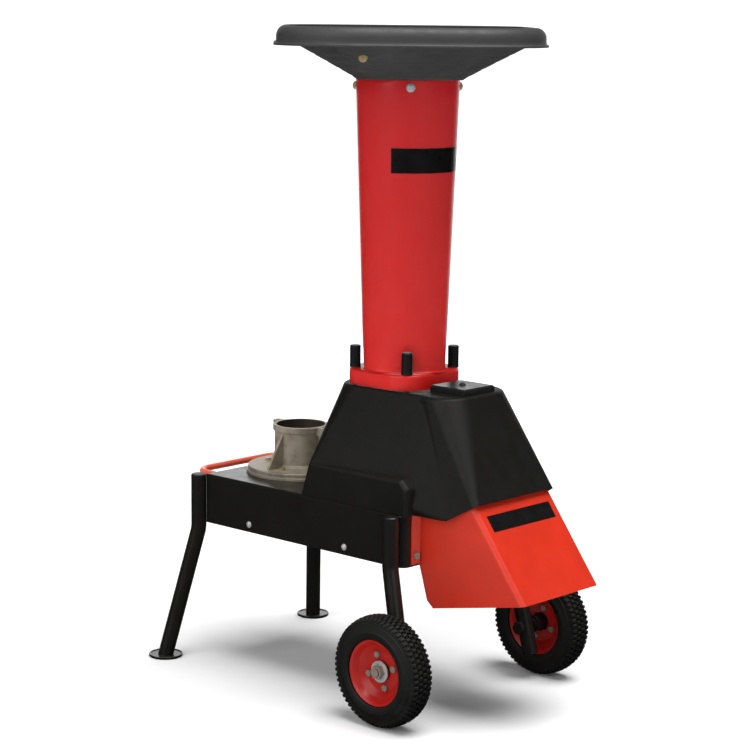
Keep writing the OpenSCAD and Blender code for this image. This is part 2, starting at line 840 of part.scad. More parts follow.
// Loop round both pulleys at the distance off from their belt radii, its straight runs a little inside
module belt_body(off, z0, z1) {
    r0 = drive_pulley_r + off;
    r1 = rotor_pulley_r + off;
    sink = 0.1;
    a = acos((r0 - r1) / (bell_x + rotor_x));
    drive_end = [cos(a), sin(a)] * (r0 - sink);
    rotor_end = [cos(a), sin(a)] * (r1 - sink);
    translate([-bell_x, 0, 0]) post(r0, z0, z1, $fn = 96);
    translate([rotor_x, 0, 0]) post(r1, z0, z1, $fn = 96);
    translate([0, 0, z0]) linear_extrude(z1 - z0)
        polygon([[drive_end[0] - bell_x, drive_end[1]], [rotor_end[0] + rotor_x, rotor_end[1]],
            [rotor_end[0] + rotor_x, -rotor_end[1]], [drive_end[0] - bell_x, -drive_end[1]]]);
}

module drive_belt() {
    z = pulley_z + (pulley_h - belt_w) / 2;
    color(c_black) from_feed() difference() {
        belt_body(belt_t + pass_gap / 2, z, z + belt_w);
        belt_body(pass_gap / 2, z - cut, z + belt_w + cut);
    }
}

// Flat belt pulley with two side flanges and a lightened web
module pulley(r) {
    bore = shaft_end_r + run_fit;
    side_t = (pulley_h - belt_w) / 2 - pass_gap;
    side_r = r + pulley_side;
    taper = 0.3;
    web_in = 5;
    difference() {
        rotate_extrude($fn = 96) polygon([[bore, 0], [side_r, 0], [side_r, side_t], [r, side_t + taper],
            [r, pulley_h - side_t - taper], [side_r, pulley_h - side_t], [side_r, pulley_h],
            [bore, pulley_h]]);
        for (z = [-1, pulley_h - web_in]) ring(r - pulley_rim, pulley_hub_r, z, z + web_in + 1);
    }
}

module drive_shaft() {
    color(c_steel) from_feed() translate([-bell_x, 0, 0]) {
        post(shaft_end_r, pulley_z - shaft_nut_h - 1, bearing_z);
        post(drive_shaft_r, bearing_z - eps, bell_floor + coupling_lift);
        post(shaft_end_r, bell_floor, bell_floor + coupling_lift + coupling_hub_h - 1);
    }
}

// Hub with a disc and three driving jaws inside the bell
module engine_coupling() {
    z = bell_floor + coupling_lift;
    hub_top = z + coupling_hub_h;
    jaw_z = hub_top + coupling_disc_t;
    jaw_top = bell_top - socket_depth - 3;
    jaw_w = 20;
    color(c_steel) from_feed() translate([-bell_x, 0, 0]) difference() {
        union() {
            post(coupling_hub_r, z, hub_top);
            post(coupling_r, hub_top - 1, jaw_z);
            for (a = [0:120:240]) rotate(a) intersection() {
                ring(coupling_r - 1, coupling_jaw_r, jaw_z - 1, jaw_top);
                translate([coupling_jaw_r - 5, -jaw_w / 2, jaw_z - 1]) cube([30, jaw_w, jaw_top - jaw_z + 1]);
            }
        }
        post(shaft_end_r + run_fit, z - cut, hub_top + 1);
    }
}

module drive_pulley() {
    color(c_steel) from_feed() translate([-bell_x, 0, pulley_z]) pulley(drive_pulley_r);
}

// Flat nut on a shaft end
module shaft_nut(z, h) {
    difference() {
        translate([0, 0, z]) hexagon(shaft_nut_af, h);
        post(shaft_end_r + run_fit, z - cut, z + h + cut);
    }
}

module drive_shaft_nut() {
    color(c_steel) from_feed() translate([-bell_x, 0, 0]) shaft_nut(pulley_z - shaft_nut_h, shaft_nut_h);
}

// Rotor and chamber

// Cast housing below the deck, with a register that stands through it
module rotor_bearing_housing() {
    shoulder = 5;
    rib = 8;
    rib_lift = 12;
    flange_z = deck_under - housing_flange_t;
    color(c_cast) from_feed() translate([rotor_x, 0, 0]) difference() {
        union() {
            post(rotor_boss_r, deck_under - 1, rotor_boss_top);
            post(housing_flange_r, flange_z, deck_under);
            post(rotor_boss_bottom_r, bearing_z, deck_under);
            for (a = [0:90:270]) rotate(a)
                translate([rotor_boss_bottom_r - 2, -rib / 2, bearing_z + rib_lift])
                cube([2 * rib, rib, flange_z - bearing_z - rib_lift + 1]);
        }
        post(rotor_bearing_r + run_fit, rotor_boss_top - rotor_bearing_h, rotor_boss_top + cut);
        post(rotor_bearing_r - shoulder, bearing_z - cut, rotor_boss_top);
        post(rotor_bearing_r + run_fit, bearing_z - cut, bearing_z + rotor_bearing_h);
        translate([-rotor_x, 0, 0]) housing_bolt_places()
            clear_hole(housing_bolt, -deck_sheet - housing_flange_t - cut, cut);
    }
}

module rotor_bearings() {
    color(c_steel) from_feed() translate([rotor_x, 0, 0])
        for (z = [bearing_z, rotor_boss_top - rotor_bearing_h])
            bearing(rotor_bearing_r, rotor_shaft_r + run_fit, z, rotor_bearing_h);
}

module housing_bolts() {
    color(c_steel) from_feed() housing_bolt_places() hex_bolt(housing_bolt, deck_sheet + housing_flange_t);
}

// U-shaped wall with flanges above, below and round the discharge
module chamber_housing() {
    chamber_h = lid_z - deck_top;
    color(c_steel) from_feed() difference() {
        union() {
            translate([0, 0, deck_top]) linear_extrude(chamber_h) chamber_outline(chamber_out, deck_front);
            for (z = [deck_top, lid_z - lid_t]) translate([0, 0, z])
                linear_extrude(lid_t) chamber_outline(flange_out, deck_front);
            translate([deck_front - chamber_wall, -flange_out, deck_top])
                cube([chamber_wall, 2 * flange_out, chamber_h]);
        }
        translate([0, 0, deck_top - cut])
            linear_extrude(chamber_h + 2 * cut) chamber_outline(chamber_r, deck_front + cut);
        chamber_bolt_places() clear_hole(chamber_bolt, deck_top - cut, lid_z + cut);
    }
}

// Lid with the feed neck and the stud plate welded on
module chamber_lid() {
    plate_in = 2;
    color(c_steel) from_feed() difference() {
        union() {
            translate([0, 0, lid_z]) linear_extrude(lid_t) chamber_outline(flange_out, deck_front);
            post(neck_r + neck_wall, lid_z, cover_under);
            translate([0, 0, cover_under - lid_t]) linear_extrude(lid_t)
                round_square(flange_half - plate_in, flange_corner - plate_in);
        }
        post(neck_r, lid_z - cut, cover_under + cut);
        chamber_bolt_places() clear_hole(chamber_bolt, lid_z - cut, lid_top + cut);
        counter_screw_places() clear_hole(counter_bolt, -lid_t - cut, cut);
        stud_places() post(stud_d / 2 + slip_fit, cover_under - lid_t - cut, cover_under + cut);
    }
}

module chamber_bolts() {
    color(c_steel) from_feed() {
        chamber_bolt_places() translate([0, 0, deck_top + lid_t]) hex_bolt(chamber_bolt, lid_t + deck_sheet);
        chamber_bolt_places() translate([0, 0, lid_top]) hex_bolt(chamber_bolt, 2 * lid_t);
        counter_screw_places() hex_bolt(counter_bolt, lid_t + counter_t - 1);
    }
}

// Places of the counter blade screws on the lid
module counter_screw_places() {
    for (sy = [-1, 1]) translate([counter_x + counter_l / 2, sy * counter_w / 4, lid_top]) children();
}

// Fixed blade under the lid, with a sharp lower edge towards the feed
module counter_blade() {
    back = counter_x + counter_l;
    relief = 4;
    color(c_steel) from_feed() difference() {
        rotate([90, 0, 0]) linear_extrude(counter_w, center = true)
            polygon([[counter_x, lid_z - counter_t], [back, lid_z - counter_t], [back, lid_z],
                [counter_x + relief, lid_z]]);
        counter_screw_places() clear_hole(counter_bolt, -lid_t - counter_t - cut, cut);
    }
}

module rotor_shaft() {
    color(c_steel) from_feed() translate([rotor_x, 0, 0]) {
        post(shaft_end_r, pulley_z - shaft_nut_h - 1, bearing_z);
        post(rotor_shaft_r, bearing_z - eps, disc_z + eps);
        post(shaft_end_r, disc_z, knife_z + top_nut_h + 1);
    }
}

// Places of the knives, on the disc top
module knife_places() {
    for (a = [0, 180]) translate([rotor_x, 0, knife_z]) rotate(a) children();
}

// Places of the two screws in each knife
module knife_screw_places() {
    knife_places() for (x = knife_screw_x) translate([x, knife_screw_y, 0]) children();
}

// Disc with two chip slots
module rotor_disc() {
    color(c_steel) from_feed() difference() {
        translate([rotor_x, 0, 0]) post(rotor_r, disc_z, knife_z);
        translate([rotor_x, 0, 0]) post(shaft_end_r + run_fit, disc_z - cut, knife_z + cut);
        knife_places() translate([knife_in + 2, knife_w / 2 - 4, -rotor_t - cut])
            cube([rotor_r - knife_in - 12, slot_w, rotor_t + 2 * cut]);
        knife_screw_places() clear_hole(knife_screw, -rotor_t - cut, cut);
        hammer_pin_places() post(hammer_pin_r + slip_fit, disc_z - cut, knife_z + cut);
    }
}

// Two flat knives with a ground front edge over the chip slot
module rotor_knives() {
    half = knife_w / 2;
    grind = 8;
    color(c_steel) from_feed() difference() {
        knife_places() translate([knife_in, 0, 0]) rotate([90, 0, 90]) linear_extrude(rotor_r - knife_in - 2)
            polygon([[-half, 0], [half - grind, 0], [half, knife_t], [-half, knife_t]]);
        knife_screw_places() clear_hole(knife_screw, -cut, knife_t + cut);
        knife_screw_places() post(knife_screw[1] / 2 + slip_fit, knife_seat, knife_t + cut);
    }
}

// Flat-headed screws that lie level with the knives
module knife_screws() {
    color(c_steel) from_feed() knife_screw_places() {
        post(knife_screw[0] / 2, -rotor_t, knife_seat + 1);
        post(knife_screw[1] / 2, knife_seat, knife_seat + knife_screw[2]);
    }
}

// Places of the hammer pins
module hammer_pin_places() {
    for (i = [0:3]) hammer_place(i) children();
}
module hammer_place(i) {
    translate([rotor_x, 0, 0]) rotate(45 + 90 * i) translate([hammer_pcr, 0, 0]) children();
}

// Headed pins below the disc
module hammer_pins() {
    color(c_steel) from_feed() hammer_pin_places() {
        post(hammer_pin_r, hammer_z - pass_gap, knife_z);
        post(hammer_head_r, hammer_z - pass_gap - hammer_head_h, hammer_z - pass_gap);
    }
}

// Swinging hammer: a bar with one round end on its pin
module hammer(i) {
    color(c_steel) from_feed() hammer_place(i) difference() {
        union() {
            post(hammer_half_w, hammer_z, hammer_z + hammer_t);
            translate([0, -hammer_half_w, hammer_z]) cube([hammer_len, 2 * hammer_half_w, hammer_t]);
        }
        post(hammer_pin_r + run_fit, hammer_z - cut, hammer_z + hammer_t + cut);
    }
}
module hammer_1() hammer(0);
module hammer_2() hammer(1);
module hammer_3() hammer(2);
module hammer_4() hammer(3);

// Hub with four flat blades that throw the chips out
module fan_vanes() {
    root = rotor_shaft_r + fan_hub / 2;
    color(c_steel) from_feed() translate([rotor_x, 0, 0]) difference() {
        union() {
            post(rotor_shaft_r + fan_hub, fan_bottom, disc_z);
            for (a = [0:90:270]) rotate(a) translate([root, -fan_t / 2, fan_bottom])
                cube([rotor_r - root, fan_t, fan_top - fan_bottom]);
        }
        post(rotor_shaft_r + run_fit, fan_bottom - cut, disc_z + cut);
    }
}

module rotor_pulley() {
    color(c_steel) from_feed() translate([rotor_x, 0, pulley_z]) pulley(rotor_pulley_r);
}

module rotor_nuts() {
    color(c_steel) from_feed() translate([rotor_x, 0, 0]) {
        shaft_nut(pulley_z - shaft_nut_h, shaft_nut_h);
        shaft_nut(knife_z, top_nut_h);
    }
}

// Cover

// Ball of the cover's skin, drawn in by s
module cover_ball(x, y, z, r, s) {
    translate([x, y, z]) sphere(r = r - s, $fn = 28);
}

// Rounded disc edge of the cover's top, drawn in by s
module cover_disc(x, y, major, minor, s) {
    translate([x, y, cover_top - minor]) rotate_extrude($fn = 44) translate([major, 0])
        circle(r = minor - s, $fn = 20);
}

// Rear form: wide and square at the deck, rounded at the top, its sides bowed from the shoulder to the tip
module cover_rear_form(s) {
    rear_c = flange_half - flange_corner;
    half = deck_hw - cover_ball_r - 1;
    shoulder = [cover_ball_r + bulge_lean - cover_rear, half, bulge_top];
    run = [cover_tip_x - cover_tip_r, chute_w / 2 + cover_tip_out, deck_top] - shoulder;
    hull() for (sy = [-1, 1]) {
        cover_ball(cover_ball_r - cover_rear, sy * half, deck_top, cover_ball_r, s);
        for (t = [0:0.25:0.75]) let (p = shoulder + t * run + 4 * t * (1 - t) * cover_bow * [0, 0.95, 0.3])
            cover_ball(p[0], sy * p[1], p[2], cover_ball_r, s);
        cover_disc(-rear_c, sy * rear_c, flange_corner + cover_rear_out, cover_rear_edge, s);
        cover_front_disc(sy, cover_valley, s);
        cover_tip(sy, s);
        cover_crease(sy, s);
    }
}

// Front form: the hood that is drawn out over the chute
module cover_hood(s) {
    nose_x = cover_front - cover_nose_r;
    hull() for (sy = [-1, 1]) {
        cover_front_disc(sy, 0, s);
        cover_crease(sy, s);
        cover_ball(nose_x, sy * (chute_w / 2 - cover_nose_in), cover_cut_z(nose_x), cover_nose_r, s);
    }
}

// Pieces that both forms share, the disc drawn in by valley where the hood stands over the side
module cover_front_disc(sy, valley, s) {
    cover_disc(cover_brow_x, sy * cover_brow_y, cover_brow_r - valley, cover_front_edge, s);
}
module cover_tip(sy, s) {
    cover_ball(cover_tip_x - cover_tip_r, sy * (chute_w / 2 + cover_tip_out), deck_top, cover_tip_r, s);
}
module cover_crease(sy, s) {
    x = cover_tip_x + cover_tip_r;
    cover_ball(x, sy * (chute_w / 2 + cover_crease_out), cover_cut_z(x), cover_tip_r, s);
}

// Bulge along one side of the deck, with a rounded front end
module cover_bulge(sy, s) {
    rear = cover_ball_r + 1 - cover_rear;
    front = cover_tip_x - bulge_in - cover_ball_r;
    inner = deck_hw - bulge_deep;
    hull() for (y = [inner, deck_hw - cover_ball_r]) {
        cover_ball(rear, sy * y, deck_top, cover_ball_r, s);
        cover_ball(rear + bulge_lean, sy * y, bulge_top, cover_ball_r, s);
        for (z = [deck_top, bulge_top - bulge_round]) cover_ball(front, sy * y, z, cover_ball_r, s);
        cover_ball(front - bulge_round, sy * y, bulge_top, cover_ball_r, s);
    }
}

// Whole skin of the cover, drawn in by s
module cover_skin(s) {
    cover_rear_form(s);
    cover_hood(s);
    for (sy = [-1, 1]) cover_bulge(sy, s);
}

// What lies below the lower edge of the cover
module cover_below() {
    past = 50;
    near = -cover_rear - past;
    far = cover_front + past;
    rotate([90, 0, 0]) linear_extrude(2 * deck_w, center = true)
        polygon([[near, deck_bottom], [near, deck_top], [cover_tip_x, deck_top], [far, cover_cut_z(far)],
            [far, deck_bottom]]);
}

module housing_cover() {
    color(c_cover) from_feed() difference() {
        cover_skin(0);
        cover_skin(cover_wall);
        cover_below();
        post(neck_r + 2, cover_under - cut, cover_top + cut);
        stud_places() post(stud_d / 2 + pass_gap, cover_under - cut, cover_top + cut);
        translate([cap_x, 0, 0]) clear_hole(cap_bolt, cover_under - cut, cover_top + cut);
    }
}

// Square lid over the service hole, with a chamfered top
module access_cap() {
    edge = 3;
    color(c_black) from_feed() translate([cap_x, 0, cover_top]) difference() {
        hull() {
            translate([-cap_l / 2, -cap_w / 2, 0]) cube([cap_l, cap_w, cap_t - edge]);
            translate([edge - cap_l / 2, edge - cap_w / 2, 0])
                cube([cap_l - 2 * edge, cap_w - 2 * edge, cap_t]);
        }
        clear_hole(cap_bolt, -cut, cap_t + cut);
    }
}

module cap_screw() {
    shank = cap_t + cover_wall + cap_bolt[0];
    color(c_black) from_feed() translate([cap_x, 0, cover_top + cap_t]) dome_screw(cap_bolt, shank);
}

// Chute

// Side view of the chute: bolted to the deck front, open below, cut slanting at the top
module chute_side() {
    heel = [deck_front + chute_heel_x, deck_bottom - chute_heel_drop];
    toe = [deck_front + chute_toe_x, deck_bottom - chute_toe_drop];
    top_front = cover_cut_z(cover_front) + chute_tuck;
    polygon([[deck_front, lid_z], [deck_front, chute_foot_z], heel, toe, [chute_tip_x, chute_tip_z],
        [chute_tip_x, top_front], [cover_tip_x + 30, top_front]]);
}

// Channel section across the fold lines, open to the rear
module chute_section(s) {
    half = chute_w / 2 - s;
    r = chute_fold - s;
    deep = chute_tip_x;
    translate([-deep, -half]) square([deep - r - s, 2 * half]);
    translate([-r - s - eps, r - half]) square([r + eps, 2 * (half - r)]);
    for (sy = [-1, 1]) translate([-r - s, sy * (half - r)]) circle(r = r);
}

module discharge_chute() {
    before = 200;
    run = 700;
    color(c_chute) from_feed() difference() {
        union() {
            intersection() {
                translate([chute_tip_x, 0, chute_tip_z]) rotate([0, -chute_lean, 0])
                    translate([0, 0, -before]) linear_extrude(run) difference() {
                        chute_section(0);
                        chute_section(chute_sheet);
                    }
                rotate([90, 0, 0]) linear_extrude(2 * chute_w, center = true) chute_side();
            }
            for (sy = [-1, 1]) mirror([0, sy > 0 ? 0 : 1, 0])
                translate([deck_front, chute_w / 2 - chute_sheet, chute_foot_z])
                    cube([chute_sheet, chute_flange + chute_sheet, deck_top - chute_foot_z]);
        }
        chute_bolt_places() clear_hole(chute_bolt, -chute_sheet - cut, cut);
    }
}

module chute_bolts() {
    color(c_steel) from_feed() chute_bolt_places() hex_bolt(chute_bolt, chute_sheet + deck_sheet);
}

// Feed tube

// Hollow foot flange with an opening for the tube
module tube_flange() {
    difference() {
        translate([0, 0, cover_top]) linear_extrude(flange_h) round_square(flange_half, flange_corner);
        translate([0, 0, cover_top - cut]) linear_extrude(flange_h - flange_plate + cut)
            round_square(flange_half - flange_skirt, flange_corner - flange_skirt);
        translate([0, 0, cover_top]) linear_extrude(flange_h + cut) rotate(45)
            round_square(tube_foot_half - tube_wall / 2, tube_foot_corner - tube_wall / 2);
    }
}

// Lower stretch of the tube: a loft from a turned square with soft corners to a circle
module tube_foot() {
    levels = [flange_top - flange_plate / 2, each [for (i = [0:foot_steps]) flange_top
        + (tube_blend_h - tube_lap) * i / foot_steps], tube_blend_z];
    rings = [for (z = levels) foot_ring(z, tube_swell, 1 / cos(180 / foot_sides)),
        for (i = [len(levels) - 1:-1:0]) foot_ring(levels[i], -tube_wall - tube_swell, 1)];
    polyhedron([for (r = rings, p = r) p], loft_faces(len(rings), foot_sides));
}

// Round upper stretch of the tube, widening upwards, its lower end let into the foot
module tube_cone() {
    low = tube_r - tube_wall;
    high = tube_top_r - tube_wall;
    rotate_extrude($fn = 96) polygon([[low, tube_blend_z - tube_lap], [tube_r, tube_blend_z - tube_lap],
        [tube_r, tube_blend_z], [tube_top_r, tube_top], [high, tube_top], [low, tube_blend_z]]);
}

module feed_tube() {
    color(c_red) from_feed() difference() {
        union() {
            tube_flange();
            tube_foot();
            tube_cone();
        }
        stud_places() post(stud_d / 2 + pass_gap, cover_top - cut, flange_top + cut);
        hopper_bolt_places() clear_hole(hopper_bolt, -4 * tube_wall, cut);
    }
}

// Studs in the chamber lid, through cover and flange
module clamp_studs() {
    color(c_steel) from_feed() stud_places()
        post(stud_d / 2, cover_under - lid_t, flange_top + nut_h - stud_d - 2);
}

// Tall round nuts with a washer face, blind at the top
module clamp_nuts() {
    r = nut_d / 2;
    seat = 0.6;
    edge = 2;
    color(c_black) from_feed() stud_places() translate([0, 0, flange_top]) difference() {
        rotate_extrude() polygon([[0, 0], [r + seat, 0], [r + seat, 2 * seat], [r, 3 * seat],
            [r, nut_h - edge], [r - edge, nut_h], [0, nut_h]]);
        post(stud_d / 2 + slip_fit, -cut, nut_h - stud_d);
    }
}

// Hopper

// Places of the four bolts at the top of the tube, pointing outwards
module hopper_bolt_places() {
    slope = (tube_top_r - tube_r) / (tube_top - tube_blend_z);
    skin = tube_top_r - slope * (tube_top - hopper_bolt_z);
    seat = skin + slope * hopper_bolt[1] / 2 + slip_fit;
    for (a = [45:90:315]) rotate(a) translate([seat, 0, hopper_bolt_z]) along_x() children();
}

// Funnel of stacked octagons, drawn in by s: a short steep foot, then two slopes with a soft crease
module funnel_skin(s) {
    mid_z = funnel_knee + (funnel_h - funnel_knee) * funnel_mid[0];
    mid_half = funnel_foot + (funnel_top - funnel_foot) * funnel_mid[1];
    levels = [[0, funnel_foot - funnel_foot_in, funnel_cut[0]], [funnel_knee, funnel_foot, funnel_cut[1]],
        [mid_z, mid_half, funnel_cut[2]], [funnel_h, funnel_top, funnel_cut[3]]];
    for (i = [0:2]) hull() for (l = [levels[i], levels[i + 1]])
        translate([0, 0, tube_top + l[0]]) linear_extrude(eps) cut_square(l[1] - s, l[2] - s * 0.6);
}

// Slab of the rim at level z
module rim_slab(z, h, in) {
    translate([0, 0, z]) linear_extrude(h) round_square(rim_half - in, rim_corner - in);
}

// Outer form of the rim: upright below, rolled in at the top
module rim_skin() {
    hull() {
        rim_slab(rim_z, rim_h - rim_roll, 0);
        for (a = [30, 60, 90])
            rim_slab(hopper_top - rim_roll + rim_roll * sin(a) - eps, eps, rim_roll * (1 - cos(a)));
    }
}

module feed_hopper() {
    color(c_hopper) from_feed() rotate(45) difference() {
        union() {
            funnel_skin(0);
            rim_skin();
            rim_slab(rim_z, rim_lip, -rim_lip);
            post(collar_r, tube_top - collar_h, tube_top + 1);
        }
        translate([0, 0, hopper_wall]) funnel_skin(hopper_wall);
        hull() {
            translate([0, 0, rim_z + hopper_wall - eps]) linear_extrude(eps)
                cut_square(funnel_top - hopper_wall, funnel_cut[3] - 2);
            rim_slab(rim_z + rim_h * rim_mid, eps, rim_in);
            rim_slab(hopper_top + cut, eps, rim_roll + 2);
        }
        post(collar_r - hopper_wall, tube_top - collar_h - cut, tube_top + hopper_wall + cut);
        rotate(-45) hopper_bolt_places() clear_hole(hopper_bolt, -2 * hopper_wall - tube_wall, cut);
    }
}

module hopper_bolts() {
    shank = tube_wall + hopper_wall + hopper_bolt[0];
    color(c_zinc) from_feed() hopper_bolt_places() dome_screw(hopper_bolt, shank);
}

// Axles and wheels

// Places of the two axles at the inner face of the front legs, pointing outwards
module axle_places() {
    for (sy = [-1, 1]) translate([axle_x, sy * axle_start, wheel_r]) rotate([-90 * sy, 0, 0]) children();
}

module axle_bolts() {
    color(c_steel) from_feed() axle_places() {
        mirror([0, 0, 1]) hexagon(axle_nut_af, axle_head_h);
        post(axle_r, -1, axle_washer_y + washer_t + axle_nut_h + axle_end - axle_start);
    }
}

// Spacer inside, washer and nut outside each wheel
module axle_nuts() {
    bore = axle_r + slip_fit;
    leg_face = axle_leg_y + leg_r + axle_seat - axle_start;
    seat = axle_washer_y - axle_start;
    nut = seat + washer_t;
    color(c_steel) from_feed() axle_places() {
        ring(spacer_r, bore, leg_face, hub_in - pass_gap - axle_start);
        ring(washer_r, bore, seat, nut);
        difference() {
            translate([0, 0, nut]) hexagon(axle_nut_af, axle_nut_h);
            post(bore, nut - cut, nut + axle_nut_h + cut);
        }
    }
}

// Turns a wheel part, drawn round +Z about its middle, onto the axle of one side
module at_wheel(side) {
    from_feed() translate([axle_x, side * wheel_y, wheel_r]) rotate([-90 * side, 0, 0]) children();
}

// Star of tread blocks, seen along the axle
module lug_star(inner, turn) {
    step = 360 / lug_count;
    reach = [inner, wheel_r + 5, wheel_r + 5, inner];
    polygon([for (i = [0:lug_count - 1], k = [0:3]) let (a = turn + (i + lug_share[k]) * step)
        reach[k] * [cos(a), sin(a)]]);
}

// Tyre: a round carcass with two rows of tread blocks
module tyre(side) {
    half = tyre_w / 2;
    tread_half = half - tyre_shoulder;
    groove_r = wheel_r - lug_h;
    bead_r = rim_d / 2 + slip_fit;
    sink = 2;
    color(c_black) at_wheel(side) {
        rotate_extrude($fn = 96) difference() {
            intersection() {
                translate([wheel_r - half - 2, 0]) circle(r = half);
                translate([bead_r, -half]) square([groove_r - bead_r, 2 * half]);
            }
            translate([wheel_r - half - tyre_thick / 2, 0]) circle(r = half - tyre_thick);
        }
        for (m = [0, 1]) mirror([0, 0, m]) intersection() {
            rotate_extrude($fn = 96) intersection() {
                translate([wheel_r - tyre_crown, 0]) circle(r = tyre_crown);
                translate([groove_r - half, tread_gap]) square([2 * half, tread_half - tread_gap]);
            }
            translate([0, 0, tread_gap / 2]) linear_extrude(tread_half)
                lug_star(groove_r - sink, m * 180 / lug_count);
        }
    }
}
module right_tyre() tyre(-1);
module left_tyre() tyre(1);

// Half of the rim: web, cone and bead flange
module rim_half_shell() {
    r_lip = rim_d / 2;
    r_well = r_lip - rim_well_in;
    t = rim_sheet;
    w = rim_w / 2;
    bead = 3;
    drop = 12;
    rotate_extrude($fn = 96) polygon([
        [rim_bore_r, rim_web], [rim_web_r, rim_web], [r_well - bead, rim_web + rim_well_in],
        [r_well - t, w - drop], [r_lip - t - bead, w - bead], [r_lip, w], [r_lip, w - t],
        [r_lip - bead, w - t - bead], [r_lip - bead, w - 8], [r_well, w - drop - t], [r_well, slip_fit * 2],
        [r_well - t, slip_fit * 2], [r_well - t, rim_web + 7 - t], [rim_web_r + t / 2, rim_web - t],
        [rim_bore_r, rim_web - t]]);
}

// Places of the rim bolts, pointing outwards
module rim_bolt_places() {
    for (a = [18:90:288]) rotate(a) translate([rim_bolt_pcr, 0, rim_web]) children();
}

module rim(side) {
    color(c_red) at_wheel(side) for (m = [0, 1]) mirror([0, 0, m]) difference() {
        rim_half_shell();
        rim_bolt_places() clear_hole(rim_bolt, -2 * rim_web - cut, cut);
    }
}
module right_rim() rim(-1);
module left_rim() rim(1);

// Sleeve on the axle with a thin flange between the two rim halves
module hub(side) {
    color(c_black) at_wheel(side) difference() {
        union() {
            post(hub_r, hub_in - wheel_y, hub_out - wheel_y);
            post(hub_flange_r, -hub_flange_h / 2, hub_flange_h / 2);
        }
        post(axle_r + run_fit, hub_in - wheel_y - cut, hub_out - wheel_y + cut);
    }
}
module right_hub() hub(-1);
module left_hub() hub(1);

module rim_bolts(side) {
    color(c_steel) at_wheel(side) rim_bolt_places() {
        hex_bolt(rim_bolt, 2 * rim_web);
        translate([0, 0, -2 * rim_web]) mirror([0, 0, 1]) hexagon(rim_bolt[1], rim_bolt[2]);
    }
}
module right_rim_bolts() rim_bolts(-1);
module left_rim_bolts() rim_bolts(1);

deck_box();
bottom_tray();
tray_screws();
rear_leg_right();
rear_leg_left();
front_leg_right();
front_leg_left();
rear_feet();
leg_caps();
lifting_handle();
handle_bolts();
engine_bell();
bell_screws();
drive_bearings();
drive_belt();
chamber_housing();
chamber_lid();
chamber_bolts();
clamp_studs();
counter_blade();
rotor_bearing_housing();
rotor_bearings();
housing_bolts();
housing_cover();
access_cap();
cap_screw();
discharge_chute();
chute_bolts();
feed_tube();
clamp_nuts();
feed_hopper();
hopper_bolts();
axle_bolts();
axle_nuts();
drive_shaft();
engine_coupling();
drive_pulley();
drive_shaft_nut();
rotor_shaft();
rotor_disc();
rotor_knives();
knife_screws();
hammer_pins();
fan_vanes();
rotor_pulley();
rotor_nuts();
hammer_1();
hammer_2();
hammer_3();
hammer_4();
right_tyre();
right_rim();
right_hub();
right_rim_bolts();
left_tyre();
left_rim();
left_hub();
left_rim_bolts();
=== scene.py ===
"""Looks of the garden shredder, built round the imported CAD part.

Shapes are worked out in millimetres, in the part's own frame, and MM turns them into metres.
Levels in materials, and the studio's floor and lamps, are in metres.
"""

import json
import math

import bmesh
import bpy
from mathutils import Matrix, Vector

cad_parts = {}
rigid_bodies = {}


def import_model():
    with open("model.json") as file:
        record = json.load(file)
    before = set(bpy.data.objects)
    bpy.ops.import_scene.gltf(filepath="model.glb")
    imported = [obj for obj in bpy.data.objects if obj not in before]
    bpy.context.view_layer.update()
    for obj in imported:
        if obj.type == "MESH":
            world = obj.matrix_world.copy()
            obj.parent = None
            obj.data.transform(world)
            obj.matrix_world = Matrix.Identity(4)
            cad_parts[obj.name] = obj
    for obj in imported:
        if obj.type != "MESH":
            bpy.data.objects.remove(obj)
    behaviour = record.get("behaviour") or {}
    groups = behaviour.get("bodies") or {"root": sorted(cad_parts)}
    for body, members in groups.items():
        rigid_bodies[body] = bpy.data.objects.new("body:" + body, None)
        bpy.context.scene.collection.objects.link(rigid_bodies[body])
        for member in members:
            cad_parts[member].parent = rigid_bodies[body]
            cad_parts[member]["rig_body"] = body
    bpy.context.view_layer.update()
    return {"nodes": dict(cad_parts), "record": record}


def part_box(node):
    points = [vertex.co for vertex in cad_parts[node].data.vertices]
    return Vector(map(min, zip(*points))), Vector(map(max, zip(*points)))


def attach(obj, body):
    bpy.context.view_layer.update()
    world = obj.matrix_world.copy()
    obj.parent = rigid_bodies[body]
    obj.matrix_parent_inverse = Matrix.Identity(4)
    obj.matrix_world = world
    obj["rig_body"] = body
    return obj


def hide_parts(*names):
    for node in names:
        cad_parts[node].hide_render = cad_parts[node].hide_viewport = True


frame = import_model()
NODES = frame["nodes"]
BODY_OF = {n: o["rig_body"] for n, o in NODES.items()}
SLOT_OF = {s["node"]: s["material_slot"] for s in frame["record"]["subparts"]}
MM = 0.001
UP = Vector((0, 0, 1))
DIAGONAL = math.pi / 4


def box_mm(node):
    """Lowest and highest corner of a CAD node, in mm."""
    low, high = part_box(node)
    return [v / MM for v in low], [v / MM for v in high]


# Levels and axes, read from the CAD nodes

TUBE_LOW, TUBE_HIGH = box_mm("feed_tube")
BELL_LOW, BELL_HIGH = box_mm("engine_bell")
DECK_LOW, DECK_HIGH = box_mm("deck_box")
HUB_LOW, HUB_HIGH = box_mm("left_hub")
FEED_X = (TUBE_LOW[0] + TUBE_HIGH[0]) / 2
COVER_TOP = TUBE_LOW[2]
TUBE_TOP = TUBE_HIGH[2]
HOPPER_TOP = box_mm("feed_hopper")[1][2]
CHUTE_FRONT = box_mm("discharge_chute")[1][0]
BELL_X = (BELL_LOW[0] + BELL_HIGH[0]) / 2
BELL_R = (BELL_HIGH[0] - BELL_LOW[0]) / 2
DECK_TOP = DECK_HIGH[2]
DECK_SIDE = max(abs(DECK_LOW[1]), abs(DECK_HIGH[1]))
HUB_MID = (HUB_LOW[1] + HUB_HIGH[1]) / 2
HUB_END = HUB_HIGH[1]


# Materials

